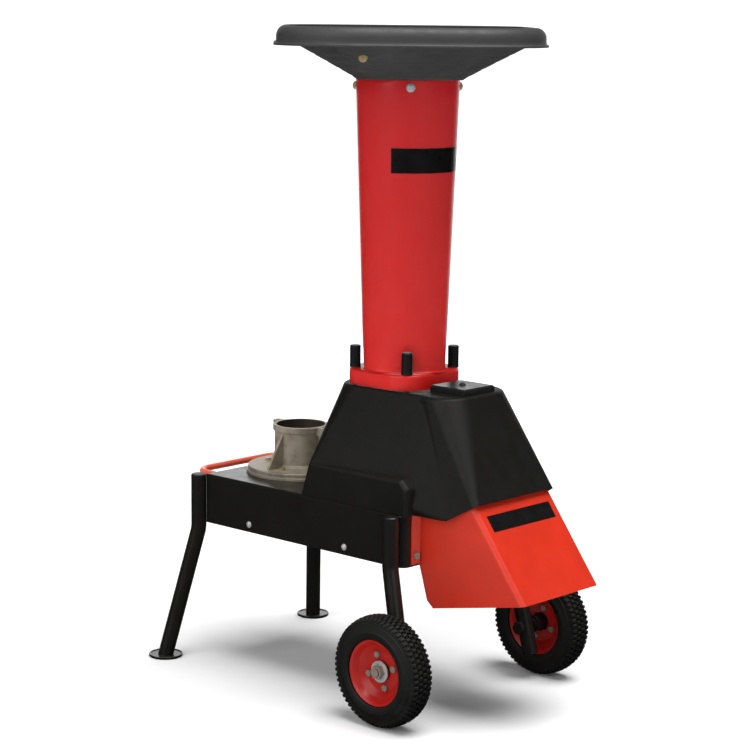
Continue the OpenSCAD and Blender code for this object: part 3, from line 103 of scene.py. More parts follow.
# Range that most of a noise lies in
NOISE_LOW = 0.3
NOISE_HIGH = 0.7

# Sockets of a mix node that blends colours
MIX_SHARE = 0
MIX_FIRST = 6
MIX_SECOND = 7
MIX_RESULT = 2


class Nodes:
    """A node material with one principled shader, and short ways to add what feeds it."""

    def __init__(self, name, colour, rough, metallic=0.0):
        self.mat = bpy.data.materials.new(name)
        self.mat.use_nodes = True
        self.mat.diffuse_color = (*colour, 1)
        self.tree = self.mat.node_tree
        self.shader = self.tree.nodes["Principled BSDF"]
        self.set("Base Color", (*colour, 1))
        self.set("Roughness", rough)
        self.set("Metallic", metallic)
        self.coords = self.tree.nodes.new("ShaderNodeTexCoord").outputs["Object"]

    def set(self, socket, value):
        self.shader.inputs[socket].default_value = value

    def link(self, output, socket):
        self.tree.links.new(output, socket)

    def add(self, kind, values):
        """A new node with constant values on the named sockets."""
        node = self.tree.nodes.new(kind)
        for socket, value in values.items():
            node.inputs[socket].default_value = value
        return node

    def scaled(self, xyz):
        """Object coordinates, stretched along each axis."""
        node = self.add("ShaderNodeMapping", {"Scale": xyz})
        self.link(self.coords, node.inputs["Vector"])
        return node.outputs["Vector"]

    def noise(self, scale, detail=4.0, rough=0.55, vector=None):
        node = self.add("ShaderNodeTexNoise", {"Scale": scale, "Detail": detail, "Roughness": rough})
        self.link(vector or self.coords, node.inputs["Vector"])
        return node.outputs["Fac"]

    def cells(self, scale):
        node = self.add("ShaderNodeTexVoronoi", {"Scale": scale})
        self.link(self.coords, node.inputs["Vector"])
        return node.outputs["Distance"]

    def ramp(self, share, stops):
        """Colours from stops of (place, colour)."""
        node = self.tree.nodes.new("ShaderNodeValToRGB")
        elements = node.color_ramp.elements
        while len(elements) < len(stops):
            elements.new(0.5)
        for element, (place, colour) in zip(elements, stops):
            element.position = place
            element.color = (*colour, 1)
        self.link(share, node.inputs["Fac"])
        return node.outputs["Color"]

    def span(self, noise, low, high):
        """A noise spread over the range from low to high."""
        values = {"From Min": NOISE_LOW, "From Max": NOISE_HIGH, "To Min": low, "To Max": high}
        node = self.add("ShaderNodeMapRange", values)
        self.link(noise, node.inputs["Value"])
        return node.outputs["Result"]

    def height(self, low, high):
        """0 at the level low, 1 at the level high."""
        split = self.tree.nodes.new("ShaderNodeSeparateXYZ")
        self.link(self.coords, split.inputs[0])
        node = self.add("ShaderNodeMapRange", {"From Min": low, "From Max": high})
        self.link(split.outputs["Z"], node.inputs["Value"])
        return node.outputs["Result"]

    def mix(self, share, output, colour):
        """The colour of an output, replaced by a plain colour as far as share says."""
        node = self.tree.nodes.new("ShaderNodeMix")
        node.data_type = "RGBA"
        node.inputs[MIX_SECOND].default_value = (*colour, 1)
        self.link(output, node.inputs[MIX_FIRST])
        self.link(share, node.inputs[MIX_SHARE])
        return node.outputs[MIX_RESULT]

    def colour(self, output):
        self.link(output, self.shader.inputs["Base Color"])

    def rough(self, output):
        self.link(output, self.shader.inputs["Roughness"])

    def bump(self, height, strength, distance, under=None):
        """Relief of the skin, laid over the relief under it where there is one."""
        node = self.add("ShaderNodeBump", {"Strength": strength, "Distance": distance})
        self.link(height, node.inputs["Height"])
        if under is not None:
            self.link(under, node.inputs["Normal"])
        self.link(node.outputs["Normal"], self.shader.inputs["Normal"])
        return node.outputs["Normal"]


def shade(colour, by):
    return tuple(min(1.0, c * by) for c in colour)


def paint(name, colour, rough, coat, peel, fade=None):
    """Powder paint: slight cloudiness of colour and gloss, and an orange-peel skin.

    fade is (low level, high level, colour at the high level).
    """
    m = Nodes(name, colour, rough)
    cloud = m.noise(9.0, detail=3.0)
    base = m.ramp(cloud, [(0.25, shade(colour, 0.88)), (0.75, shade(colour, 1.1))])
    if fade is not None:
        low, high, far = fade
        base = m.mix(m.height(low, high), base, far)
    m.colour(base)
    m.rough(m.span(m.noise(26.0, detail=5.0), rough - 0.05, rough + 0.07))
    m.set("Specular IOR Level", 0.36)
    m.set("Coat Weight", coat)
    m.set("Coat Roughness", 0.12)
    fine = m.bump(m.noise(900.0, detail=2.0), strength=peel, distance=0.0003)
    m.bump(m.noise(220.0, detail=2.0), strength=peel, distance=0.0004, under=fine)
    return m.mat


def moulded(name, colour, rough, grain, scale, gloss=0.42):
    """Moulded plastic with a pebbled grain, faintly paler where it is rubbed."""
    m = Nodes(name, colour, rough)
    cloud = m.noise(7.0)
    m.colour(m.ramp(cloud, [(0.3, shade(colour, 0.85)), (0.7, shade(colour, 1.18))]))
    m.rough(m.span(m.noise(40.0), rough - 0.06, rough + 0.08))
    m.set("Specular IOR Level", gloss)
    fine = m.bump(m.cells(scale), strength=grain, distance=0.0004)
    m.bump(m.noise(scale * 2.3, detail=3.0), strength=grain * 0.6, distance=0.0003, under=fine)
    return m.mat


def metal(name, colour, rough, stretch, mark, weight=0.4):
    """Plated or turned metal with fine tool lines across the axis of greatest stretch, and tarnish."""
    m = Nodes(name, colour, rough, weight)
    lines = m.noise(1.0, rough=0.6, vector=m.scaled(stretch))
    tarnish = m.noise(60.0, detail=5.0)
    base = m.ramp(lines, [(0.3, shade(colour, 0.86)), (0.7, shade(colour, 1.08))])
    m.colour(m.mix(m.span(tarnish, 0.0, 0.35), base, shade(colour, 0.55)))
    m.rough(m.span(tarnish, rough - 0.06, rough + 0.12))
    m.bump(lines, strength=mark, distance=0.0002)
    return m.mat


def cast(name, colour, rough, weight):
    """Sand casting: a grainy skin with dull hollows."""
    m = Nodes(name, colour, rough, weight)
    patch = m.noise(32.0, detail=6.0, rough=0.62)
    m.colour(m.ramp(patch, [(0.28, shade(colour, 0.62)), (0.55, colour), (0.8, shade(colour, 1.25))]))
    m.rough(m.span(patch, rough - 0.08, rough + 0.14))
    grain = m.bump(m.noise(700.0, detail=5.0, rough=0.7), strength=0.35, distance=0.0006)
    m.bump(m.noise(120.0), strength=0.16, distance=0.0012, under=grain)
    return m.mat


def rubber(name, colour, rough):
    """Rubber with a dusty bloom and a fine moulded texture."""
    m = Nodes(name, colour, rough)
    dust = m.noise(38.0, detail=6.0, rough=0.65)
    m.colour(m.ramp(dust, [(0.35, colour), (0.62, shade(colour, 1.35)), (0.85, shade(colour, 2.3))]))
    m.rough(m.span(dust, rough - 0.08, rough + 0.1))
    m.set("Specular IOR Level", 0.35)
    fine = m.bump(m.noise(1200.0, detail=3.0), strength=0.25, distance=0.0003)
    m.bump(m.noise(180.0, detail=3.0), strength=0.12, distance=0.0006, under=fine)
    return m.mat


# Stretch of the tool lines: the same all ways, and finest along Z for turned and rolled steel
EVEN = (300, 300, 300)
BORED = (60, 60, 2600)
TURNED = (90, 90, 2200)
ROLLED = (40, 40, 900)

# The tube's red deepens towards its top
TUBE_FADE = (0.7, 1.22, (0.55, 0.006, 0.009))

BLACK_PAINT = paint("black_powder_paint", (0.0098, 0.0092, 0.0082), rough=0.34, coat=0.25, peel=0.05)
RED_PAINT = paint("red_powder_paint", (0.67, 0.013, 0.010), rough=0.4, coat=0.12, peel=0.04, fade=TUBE_FADE)
RIM_PAINT = paint("red_rim_paint", (0.42, 0.010, 0.006), rough=0.36, coat=0.1, peel=0.05)
ORANGE_PAINT = paint("orange_red_paint", (0.60, 0.029, 0.011), rough=0.38, coat=0.1, peel=0.04)
HANDLE_PAINT = paint("handle_paint", (0.97, 0.13, 0.075), rough=0.35, coat=0.2, peel=0.05)
COVER_PLASTIC = moulded("cover_plastic", (0.0088, 0.0084, 0.0066), rough=0.52, grain=0.16, scale=900.0,
                        gloss=0.22)
CAP_PLASTIC = moulded("cap_plastic", (0.014, 0.014, 0.014), rough=0.34, grain=0.08, scale=1300.0)
HOPPER_PLASTIC = moulded("hopper_plastic", (0.046, 0.046, 0.046), rough=0.56, grain=0.14, scale=800.0)
NUT_PLASTIC = moulded("nut_plastic", (0.008, 0.008, 0.0085), rough=0.42, grain=0.1, scale=1500.0)
LABEL_FILM = moulded("label_film", (0.006, 0.006, 0.0065), rough=0.3, grain=0.03, scale=2000.0)
CAST_SKIN = cast("cast_aluminium", (0.40, 0.35, 0.27), rough=0.42, weight=0.2)
CAST_IRON = cast("cast_iron", (0.10, 0.10, 0.105), rough=0.55, weight=0.7)
# Bored socket inside the bell: a dark brown metal, made darker still with painted shade of the hollow
SHADED_BELL_SOCKET = metal("bored_socket_painted_shade", (0.085, 0.066, 0.05), rough=0.34, stretch=BORED, mark=0.12, weight=0.25)
ZINC = metal("bright_zinc", (0.62, 0.63, 0.64), rough=0.28, stretch=EVEN, mark=0.06)
YELLOW_ZINC = metal("yellow_zinc", (0.58, 0.45, 0.23), rough=0.3, stretch=EVEN, mark=0.06)
DULL_ZINC = metal("dull_zinc", (0.36, 0.31, 0.25), rough=0.36, stretch=EVEN, mark=0.06)
STEEL = metal("turned_steel", (0.30, 0.30, 0.31), rough=0.34, stretch=TURNED, mark=0.1, weight=0.75)
SHEET_STEEL = metal("sheet_steel", (0.27, 0.27, 0.28), rough=0.4, stretch=ROLLED, mark=0.06, weight=0.7)
TYRE_RUBBER = rubber("tyre_rubber", (0.0056, 0.0054, 0.0048), rough=0.66)
BELT_RUBBER = rubber("belt_rubber", (0.014, 0.014, 0.014), rough=0.8)


# Mesh helpers

# Points closer than this, in metres, are one point
CAD_WELD = 2e-6
TYRE_WELD = 1e-6

# Faces that meet at less than this angle, in degrees, are one flat face
FLAT = 0.4

# Weight of large faces in the shading of rounded edges
FACE_WEIGHT = 60


def add_object(name, data):
    obj = bpy.data.objects.new(name, data)
    bpy.context.scene.collection.objects.link(obj)
    return obj


def axes_at(x, y, z, place):
    """Matrix with the given axes at a place in metres."""
    rows = [(x[k], y[k], z[k], place[k]) for k in range(3)]
    return Matrix((*rows, (0, 0, 0, 1)))


def facing(point, normal):
    """Matrix that puts +Z along the normal at a point given in mm."""
    z = Vector(normal).normalized()
    x = UP.cross(z).normalized()
    return axes_at(x, z.cross(x), z, [v * MM for v in point])


def mesh_of(name, bm):
    """Mesh with the faces of a bmesh, which is freed."""
    mesh = bpy.data.meshes.new(name)
    bm.to_mesh(mesh)
    bm.free()
    return mesh


def mesh_from(name, verts, faces):
    """Mesh of the given faces, turned to face outwards."""
    mesh = bpy.data.meshes.new(name)
    mesh.from_pydata(verts, [], faces)
    bm = bmesh.new()
    bm.from_mesh(mesh)
    bmesh.ops.recalc_face_normals(bm, faces=bm.faces)
    bm.to_mesh(mesh)
    bm.free()
    return mesh


def smooth_by_angle(mesh, degrees):
    """Smooth faces, with edges sharper than the given angle kept sharp."""
    bm = bmesh.new()
    bm.from_mesh(mesh)
    limit = math.radians(degrees)
    for face in bm.faces:
        face.smooth = True
    for edge in bm.edges:
        edge.smooth = len(edge.link_faces) == 2 and edge.calc_face_angle(0.0) < limit
    bm.to_mesh(mesh)
    bm.free()


def finish_piece(obj, body, slot, nodes=()):
    """Ties a piece to its body and hides the CAD nodes that it replaces."""
    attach(obj, body)
    if nodes:
        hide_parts(*nodes)
    return obj


def add_piece(name, mesh, material, sharp, body, slot, nodes=()):
    """A piece of one material, smooth apart from its edges over the angle sharp."""
    mesh.materials.append(material)
    smooth_by_angle(mesh, sharp)
    return finish_piece(add_object(name, mesh), body, slot, nodes)


def soften(obj, width, segments, degrees):
    """Rounds the sharp edges and evens the shading of flat faces."""
    bevel = obj.modifiers.new("edge", "BEVEL")
    bevel.width = width
    bevel.segments = segments
    bevel.limit_method = "ANGLE"
    bevel.angle_limit = math.radians(degrees)
    bevel.miter_outer = "MITER_ARC"
    normals = obj.modifiers.new("shading", "WEIGHTED_NORMAL")
    normals.keep_sharp = True
    normals.weight = FACE_WEIGHT


def welded(node):
    """The mesh of a CAD node as a bmesh, with doubled points joined."""
    bm = bmesh.new()
    bm.from_mesh(NODES[node].data)
    bmesh.ops.remove_doubles(bm, verts=bm.verts, dist=CAD_WELD)
    return bm


def clean_copy(node):
    """A welded copy of a CAD node's mesh, with the triangles of flat faces joined."""
    bm = welded(node)
    bmesh.ops.dissolve_limit(bm, angle_limit=math.radians(FLAT), verts=bm.verts, edges=bm.edges)
    bmesh.ops.recalc_face_normals(bm, faces=bm.faces)
    mesh = mesh_of(node + "_dressed", bm)
    for layer in ("custom_normal", "sharp_face"):
        if layer in mesh.attributes:
            mesh.attributes.remove(mesh.attributes[layer])
    mesh.materials.clear()
    return mesh


def dress(node, material, width=0.5, segments=2, degrees=32.0, sharp=60.0, others=()):
    """Replaces a CAD node by a copy with rounded edges.

    others holds (material, test of a face) for faces that differ. Where two tests hold, the later one counts.
    """
    mesh = clean_copy(node)
    mesh.materials.append(material)
    for index, (other, chosen) in enumerate(others, 1):
        mesh.materials.append(other)
        for polygon in mesh.polygons:
            if chosen(polygon):
                polygon.material_index = index
    smooth_by_angle(mesh, sharp)
    obj = add_object(node + "_dressed", mesh)
    soften(obj, width * MM, segments, degrees)
    return finish_piece(obj, BODY_OF[node], SLOT_OF[node], [node])


def thicken(obj, by):
    """Coat of paint: pushes the skin out by a length in mm."""
    coat = obj.modifiers.new("coat", "DISPLACE")
    coat.strength = by * MM
    coat.mid_level = 0.0


def recolour(node, material):
    """Gives one material to a CAD node that is shown as it is."""
    mesh = NODES[node].data
    mesh.materials.clear()
    mesh.materials.append(material)


# Lofts round the feed axis

def circle(r):
    return lambda a: r


def round_square(half, corner, turn=0.0):
    """Polar radius of a square with rounded corners."""
    def radius(a):
        c = abs(math.cos(a - turn))
        s = abs(math.sin(a - turn))
        c, s = max(c, s), min(c, s)
        if half * s / c <= half - corner:
            return half / c
        k = (half - corner) * (c + s)
        return k + math.sqrt(k * k - 2 * (half - corner) ** 2 + corner * corner)
    return radius


def cut_square(half, cut, turn=0.0, sink=0.0):
    """Polar radius of a square with cut corners, whose cut faces lie lower by the length sink."""
    def radius(a):
        c = abs(math.cos(a - turn))
        s = abs(math.sin(a - turn))
        flat = half / max(c, s)
        corner = (2 * half - cut) / (c + s)
        return min(flat, corner - sink if corner < flat else corner)
    return radius


def blended(first, second, share):
    return lambda a: first(a) * (1 - share) + second(a) * share


def right_angle(steps):
    """Angles from 0 to a right angle, in equal steps."""
    return [k / steps * math.pi / 2 for k in range(steps + 1)]


def round_feed(r, a, z):
    """Place in metres at a radius, angle and level round the feed axis."""
    return (FEED_X + r * math.cos(a)) * MM, r * math.sin(a) * MM, z * MM


def loft(name, rings, count):
    """Closed skin through rings of (level, polar radius) round the feed axis; the last joins the first."""
    angles = [2 * math.pi * i / count for i in range(count)]
    verts = [round_feed(radius(a), a, z) for z, radius in rings for a in angles]
    faces = []
    for k in range(len(rings)):
        this = k * count
        following = (k + 1) % len(rings) * count
        for i in range(count):
            j = (i + 1) % count
            faces.append((this + i, this + j, following + j, following + i))
    return mesh_from(name, verts, faces)


# Feed tube

FLANGE_HALF = 94.0
FLANGE_CORNER = 56.0
FLANGE_H = 31.0
FLANGE_EDGE = 6.0
FLANGE_SKIRT = 3.0
FLANGE_PLATE = 4.0
TUBE_FOOT = 81.0
TUBE_SOFT = 58.0
TUBE_ROOT = 5.0
TUBE_R = 85.0
TUBE_TOP_R = 102.7
TUBE_WALL = 2.5
TUBE_LIP = 1.0
TUBE_LIP_EDGE = 0.3
TUBE_SIDES = 144
TUBE_SHARP = 40
EDGE_STEPS = 6
ROOT_STEPS = 5
BLEND_STEPS = 10
SHAFT_STEPS = 12
BLEND_H = 84.0
FLANGE_TOP = COVER_TOP + FLANGE_H
BLEND_TOP = FLANGE_TOP + BLEND_H
SHAFT_H = TUBE_TOP - BLEND_TOP


def tube_ring(z, inset):
    """Ring of the tube: its square foot turns into a circle, which then widens towards the top."""
    if z < BLEND_TOP:
        foot = round_square(TUBE_FOOT - inset, TUBE_SOFT - inset, DIAGONAL)
        t = max(0.0, (z - FLANGE_TOP) / BLEND_H)
        return z, blended(foot, circle(TUBE_R - inset), t)
    t = (z - BLEND_TOP) / SHAFT_H
    return z, circle(TUBE_R + (TUBE_TOP_R - TUBE_R) * t - inset)


def make_feed_tube():
    """The flange with its rounded edge, the tube's outside and lip, its inside, and the flange from below."""
    rings = [(COVER_TOP, round_square(FLANGE_HALF, FLANGE_CORNER))]
    for a in right_angle(EDGE_STEPS):
        inset = FLANGE_EDGE * (1 - math.cos(a))
        level = FLANGE_TOP - FLANGE_EDGE + FLANGE_EDGE * math.sin(a)
        rings.append((level, round_square(FLANGE_HALF - inset, FLANGE_CORNER - inset)))
    for a in right_angle(ROOT_STEPS):
        out = TUBE_ROOT * (1 - math.sin(a))
        lift = TUBE_ROOT * (1 - math.cos(a))
        foot = round_square(TUBE_FOOT + out, TUBE_SOFT + out, DIAGONAL)
        rings.append((FLANGE_TOP + lift, blended(foot, circle(TUBE_R), lift / BLEND_H)))
    levels = [FLANGE_TOP + TUBE_ROOT + (BLEND_H - TUBE_ROOT) * k / BLEND_STEPS for k in range(1, BLEND_STEPS)]
    levels += [BLEND_TOP + SHAFT_H * k / SHAFT_STEPS for k in range(SHAFT_STEPS)]
    levels.append(TUBE_TOP - TUBE_LIP)
    rings += [tube_ring(z, 0.0) for z in levels]
    rings.append((TUBE_TOP - TUBE_LIP_EDGE, circle(TUBE_TOP_R - TUBE_LIP_EDGE)))
    rings.append((TUBE_TOP, circle(TUBE_TOP_R - TUBE_LIP)))
    rings.append((TUBE_TOP, circle(TUBE_TOP_R - TUBE_WALL)))
    rings += [tube_ring(z, TUBE_WALL) for z in reversed(levels)]
    inside = round_square(TUBE_FOOT - TUBE_WALL, TUBE_SOFT - TUBE_WALL, DIAGONAL)
    skirt = round_square(FLANGE_HALF - FLANGE_SKIRT, FLANGE_CORNER - FLANGE_SKIRT)
    rings += [(FLANGE_TOP, inside), (FLANGE_TOP - FLANGE_PLATE, inside)]
    rings += [(FLANGE_TOP - FLANGE_PLATE, skirt), (COVER_TOP, skirt)]
    mesh = loft("feed_tube_skin", rings, TUBE_SIDES)
    slot = SLOT_OF["feed_tube"]
    tube = add_piece("feed_tube_skin", mesh, RED_PAINT, TUBE_SHARP, "frame", slot, ["feed_tube"])
    # Its red does not tint the pieces round it
    tube.visible_diffuse = False
    tube.visible_glossy = False


# Hopper. Heights in the funnel are measured from the tube's top.

FUNNEL_H = 65.0
FUNNEL_KNEE = 7.0
FUNNEL_FOOT = 112.0
FUNNEL_TOP = 215.0
KNEE_OUT = 9.0
# (height, half width, corner cut)
FUNNEL_LEVELS = [(0.0, FUNNEL_FOOT - KNEE_OUT, 31.0), (FUNNEL_KNEE, FUNNEL_FOOT, 25.0),
                 (FUNNEL_H, FUNNEL_TOP, 61.0)]
FUNNEL_INSIDE = (54.0, 42.0, 30.0, 18.0, FUNNEL_KNEE)
CORNER_SINK = 1.8
CUT_PER_INSET = 0.6
TERRACES = (FUNNEL_KNEE, 21.0, 35.0, 49.0)
# (height from the terrace's level, depth)
TERRACE_GROOVE = ((-1.2, 0.0), (-0.4, 1.0), (1.6, 1.0), (3.0, 0.0))
RIM_HALF = 259.0
RIM_CORNER = 160.0
RIM_H = 37.0
RIM_ROLL = 20.0
ROLL_STEPS = 8
RIM_Z = TUBE_TOP + FUNNEL_H
# (height above the funnel, how far it stands out)
RIM_BEAD = ((0.0, 4.0), (0.6, 5.0), (3.4, 5.0), (4.6, 4.0), (5.6, 1.6), (8.0, 0.3), (11.0, 0.0))
# (depth below the hopper's top, inset from the roll)
RIM_INSIDE = ((0.6, 1.0), (3.0, 1.6))
HOPPER_WALL = 3.5
HOPPER_SIDES = 192
HOPPER_SHARP = 28
BOWL_H = RIM_H * 0.45
BOWL_EDGE = 16.5
BOWL_INSET = 16.0
BOWL_CUT = 59.0
BOWL_SHARES = (0.66, 0.33, 0.0)
COLLAR_H = 20.0
COLLAR_EDGE = 0.8
COLLAR_GAP = 0.15
COLLAR_R = TUBE_TOP_R - TUBE_WALL - (TUBE_TOP_R - TUBE_R) * COLLAR_H / SHAFT_H - COLLAR_GAP


def funnel_at(z):
    """Half width and corner cut of the funnel at a height."""
    low, high = FUNNEL_LEVELS[:2] if z <= FUNNEL_KNEE else FUNNEL_LEVELS[1:]
    t = (z - low[0]) / (high[0] - low[0])
    return [a + (b - a) * t for a, b in zip(low[1:], high[1:])]


def funnel_ring(z, inset):
    half, cut = funnel_at(z)
    sink = CORNER_SINK if 0.0 < z < FUNNEL_H else 0.0
    return TUBE_TOP + z, cut_square(half - inset, cut - CUT_PER_INSET * inset, DIAGONAL, sink)


def rim_ring(z, inset):
    return z, round_square(RIM_HALF - inset, RIM_CORNER - inset, DIAGONAL)


def make_hopper():
    """The collar in the tube, the terraced funnel, the rim with its bead and roll, and the inside."""
    collar_low = TUBE_TOP - COLLAR_H
    collar_in = circle(COLLAR_R - HOPPER_WALL)
    rings = [(collar_low, collar_in), (collar_low, circle(COLLAR_R - COLLAR_EDGE))]
    rings += [(collar_low + COLLAR_EDGE, circle(COLLAR_R)), (TUBE_TOP, circle(COLLAR_R))]
    rings.append(funnel_ring(0.0, 0.0))
    rings += [funnel_ring(z + up, depth) for z in TERRACES for up, depth in TERRACE_GROOVE]
    rings.append(funnel_ring(FUNNEL_H, 0.0))
    rings += [rim_ring(RIM_Z + up, -out) for up, out in RIM_BEAD]
    for a in right_angle(ROLL_STEPS):
        rings.append(rim_ring(HOPPER_TOP - RIM_ROLL + RIM_ROLL * math.sin(a), RIM_ROLL * (1 - math.cos(a))))
    rings += [rim_ring(HOPPER_TOP - down, RIM_ROLL + inset) for down, inset in RIM_INSIDE]
    rings.append(rim_ring(RIM_Z + BOWL_H, BOWL_EDGE))
    bowl_low = cut_square(FUNNEL_TOP - HOPPER_WALL, BOWL_CUT, DIAGONAL)
    bowl_high = round_square(RIM_HALF - BOWL_INSET, RIM_CORNER - BOWL_INSET, DIAGONAL)
    for share in BOWL_SHARES:
        level = RIM_Z + HOPPER_WALL + (BOWL_H - HOPPER_WALL) * share
        rings.append((level, blended(bowl_low, bowl_high, share)))
    for z in (*FUNNEL_INSIDE, 0.0):
        level, shape = funnel_ring(z, HOPPER_WALL)
        rings.append((level + HOPPER_WALL, shape))
    rings.append((TUBE_TOP + HOPPER_WALL, collar_in))
    mesh = loft("feed_hopper_skin", rings, HOPPER_SIDES)
    slot = SLOT_OF["feed_hopper"]
    add_piece("feed_hopper_skin", mesh, HOPPER_PLASTIC, HOPPER_SHARP, "frame", slot, ["feed_hopper"])


# Small turned parts. Profiles are (radius, height).

SMALL_SHARP = 35
FUNNEL_BOLT = [(0, -2.0), (9.0, -2.0), (9.0, 1.0), (8.6, 1.6), (8.2, 1.7), (7.8, 3.6), (6.8, 5.7),
               (5.1, 7.5), (2.6, 8.7), (0, 9.0)]
FUNNEL_BOLT_Z = FUNNEL_H - 21.0
FUNNEL_BOLT_ASIDE = 95.0
SLOPE_RISE = 4.0
TRAY_WASHER = [(2.5, -0.3), (6.6, -0.3), (6.6, 0.8), (6.1, 1.3), (5.0, 1.5), (4.4, 2.0), (2.5, 2.0)]
# (distance outside the bell's base disc, height)
BELL_STEP = [(-4.0, 0.1), (2.6, 0.1), (3.0, 0.5), (3.0, 5.2), (2.4, 6.0), (-4.0, 6.0)]
BELL_STEP_SIDES = 96


def turned(profile, count=32):
    """Turned skin through a profile in mm, round its own +Z axis, as a bmesh."""
    bm = bmesh.new()
    angles = [2 * math.pi * i / count for i in range(count)]
    rings = []
    for r, z in profile:
        if r == 0:
            rings.append([bm.verts.new((0, 0, z * MM))])
        else:
            rings.append([bm.verts.new((r * MM * math.cos(a), r * MM * math.sin(a), z * MM)) for a in angles])
    for a, b in zip(rings, rings[1:]):
        for i in range(count):
            j = (i + 1) % count
            corners = [a[i % len(a)], a[j % len(a)], b[j % len(b)], b[i % len(b)]]
            unique = [v for k, v in enumerate(corners) if v not in corners[:k]]
            bm.faces.new(unique)
    bmesh.ops.recalc_face_normals(bm, faces=bm.faces)
    return bm


def stamp(name, bm, places, material, slot):
    """One piece of the frame that holds a copy of a small shape at each place."""
    copied = mesh_of("scratch", bm)
    total = bmesh.new()
    for place in places:
        first = len(total.verts)
        total.from_mesh(copied)
        total.verts.ensure_lookup_table()
        bmesh.ops.transform(total, matrix=place, verts=total.verts[first:])
    bpy.data.meshes.remove(copied)
    add_piece(name, mesh_of(name, total), material, SMALL_SHARP, "frame", slot)


def make_funnel_bolts():
    """A domed bolt on a washer on two opposite faces of the funnel, left of the middle."""
    half = funnel_at(FUNNEL_BOLT_Z)[0]
    lower_half = funnel_at(FUNNEL_BOLT_Z - SLOPE_RISE)[0]
    slope = math.atan2(half - lower_half, SLOPE_RISE)
    places = []
    for a in (-DIAGONAL, 3 * DIAGONAL):
        out = Vector((math.cos(a), math.sin(a), 0))
        left = Vector((math.sin(a), -math.cos(a), 0))
        spot = out * half + left * FUNNEL_BOLT_ASIDE
        normal = out * math.cos(slope) - UP * math.sin(slope)
        places.append(facing((FEED_X + spot.x, spot.y, TUBE_TOP + FUNNEL_BOLT_Z), normal))
    stamp("funnel_bolts", turned(FUNNEL_BOLT), places, YELLOW_ZINC, "zinc_steel")


def islands(node):
    """Lowest and highest corner, in mm, of each separate solid of a CAD node, from rear to front."""
    bm = welded(node)
    left = set(bm.verts)
    found = []
    while left:
        todo = [left.pop()]
        group = []
        while todo:
            vert = todo.pop()
            group.append(vert.co / MM)
            for edge in vert.link_edges:
                other = edge.other_vert(vert)
                if other in left:
                    left.remove(other)
                    todo.append(other)
        axes = list(zip(*group))
        found.append(([min(axis) for axis in axes], [max(axis) for axis in axes]))
    bm.free()
    return sorted(found)


def make_tray_washers():
    """A flanged washer under the head of each screw in the sides of the deck."""
    places = []
    for low, high in islands("tray_screws"):
        side = 1 if low[1] + high[1] > 0 else -1
        middle = ((low[0] + high[0]) / 2, side * DECK_SIDE, (low[2] + high[2]) / 2)
        places.append(facing(middle, (0, side, 0)))
    stamp("tray_washers", turned(TRAY_WASHER), places, ZINC, SLOT_OF["tray_screws"])


def make_bell_step():
    """Turned lower step round the base disc of the bell."""
    profile = [(BELL_R + out, z) for out, z in BELL_STEP]
    place = Matrix.Translation((BELL_X * MM, 0, DECK_TOP * MM))
    stamp("bell_step", turned(profile, BELL_STEP_SIDES), [place], CAST_SKIN, SLOT_OF["engine_bell"])


# Tyres

TYRE_SIDES = 96
TYRE_SHARP = 32
# (radius, distance from the middle) of the side wall, from its seat on the rim, over a step and a rib
TYRE_WALL = [(65.3, 27.6), (66.6, 28.9), (69.0, 29.8), (72.0, 30.5), (77.0, 31.0), (80.0, 30.8), (80.6, 30.2),
             (84.0, 29.4), (88.0, 28.2), (91.0, 27.2), (91.6, 27.5), (93.0, 27.0), (93.6, 26.0), (97.0, 25.4),
             (100.0, 24.6), (102.0, 22.6)]
TYRE_CROWN = [(103.0, 14.0), (103.4, 0.0), (103.0, -14.0)]
TYRE_INSIDE = [(68.0, -24.0), (92.0, -18.0), (95.0, 0.0), (92.0, 18.0), (68.0, 24.0)]
TREAD_COUNT = 60
# (one side, other side, start in steps) of each row of tread blocks
TREAD_ROWS = [(-4.4, 4.4, 0.0), (6.2, 14.6, 0.5), (-14.6, -6.2, 0.5), (16.6, 25.2, 0.0), (-25.2, -16.6, 0.0)]
BLOCK_SHARE = 0.6
BLOCK_ROOT_R = 101.5
SHOULDER = 20.0
SHOULDER_ROOT_R = 95.0
BLOCK_EDGE = 1.4
BLOCK_EDGE_INSET = 0.3
BLOCK_TOP_INSET = 1.3
CROWN_R = 60.0
GROUND_GAP = 0.1


def tread_block(bm, axle, width, arc, levels):
    """One tapered tread block between two sides and two angles.

    levels holds (radius at the first side, radius at the second side, inset), from its root to its top.
    """
    rings = []
    for first, second, inset in levels:
        corners = ((first, arc[0] + inset / first, width[0] + inset),
                   (first, arc[1] - inset / first, width[0] + inset),
                   (second, arc[1] - inset / second, width[1] - inset),
                   (second, arc[0] + inset / second, width[1] - inset))
        ring = []
        for r, a, y in corners:
            place = (axle[0] + r * math.cos(a), axle[1] + y, axle[2] + r * math.sin(a))
            ring.append(bm.verts.new([v * MM for v in place]))
        rings.append(ring)
    bm.faces.new(rings[0])
    bm.faces.new(rings[-1])
    for a, b in zip(rings, rings[1:]):
        for i in range(4):
            j = (i + 1) % 4
            bm.faces.new((a[i], a[j], b[j], b[i]))


def add_tread(bm, axle):
    """Five staggered rows of small blocks under a rounded crown that just clears the ground."""
    def crown(y):
        return axle[2] - CROWN_R - GROUND_GAP + math.sqrt(CROWN_R * CROWN_R - y * y)

    step = 2 * math.pi / TREAD_COUNT
    for y0, y1, start in TREAD_ROWS:
        roots = [SHOULDER_ROOT_R if abs(y) > SHOULDER else BLOCK_ROOT_R for y in (y0, y1)]
        levels = [(*roots, 0.0), (crown(y0) - BLOCK_EDGE, crown(y1) - BLOCK_EDGE, BLOCK_EDGE_INSET),
                  (crown(y0), crown(y1), BLOCK_TOP_INSET)]
        for i in range(TREAD_COUNT):
            arc = ((i + start) * step, (i + start + BLOCK_SHARE) * step)
            tread_block(bm, axle, (y0, y1), arc, levels)


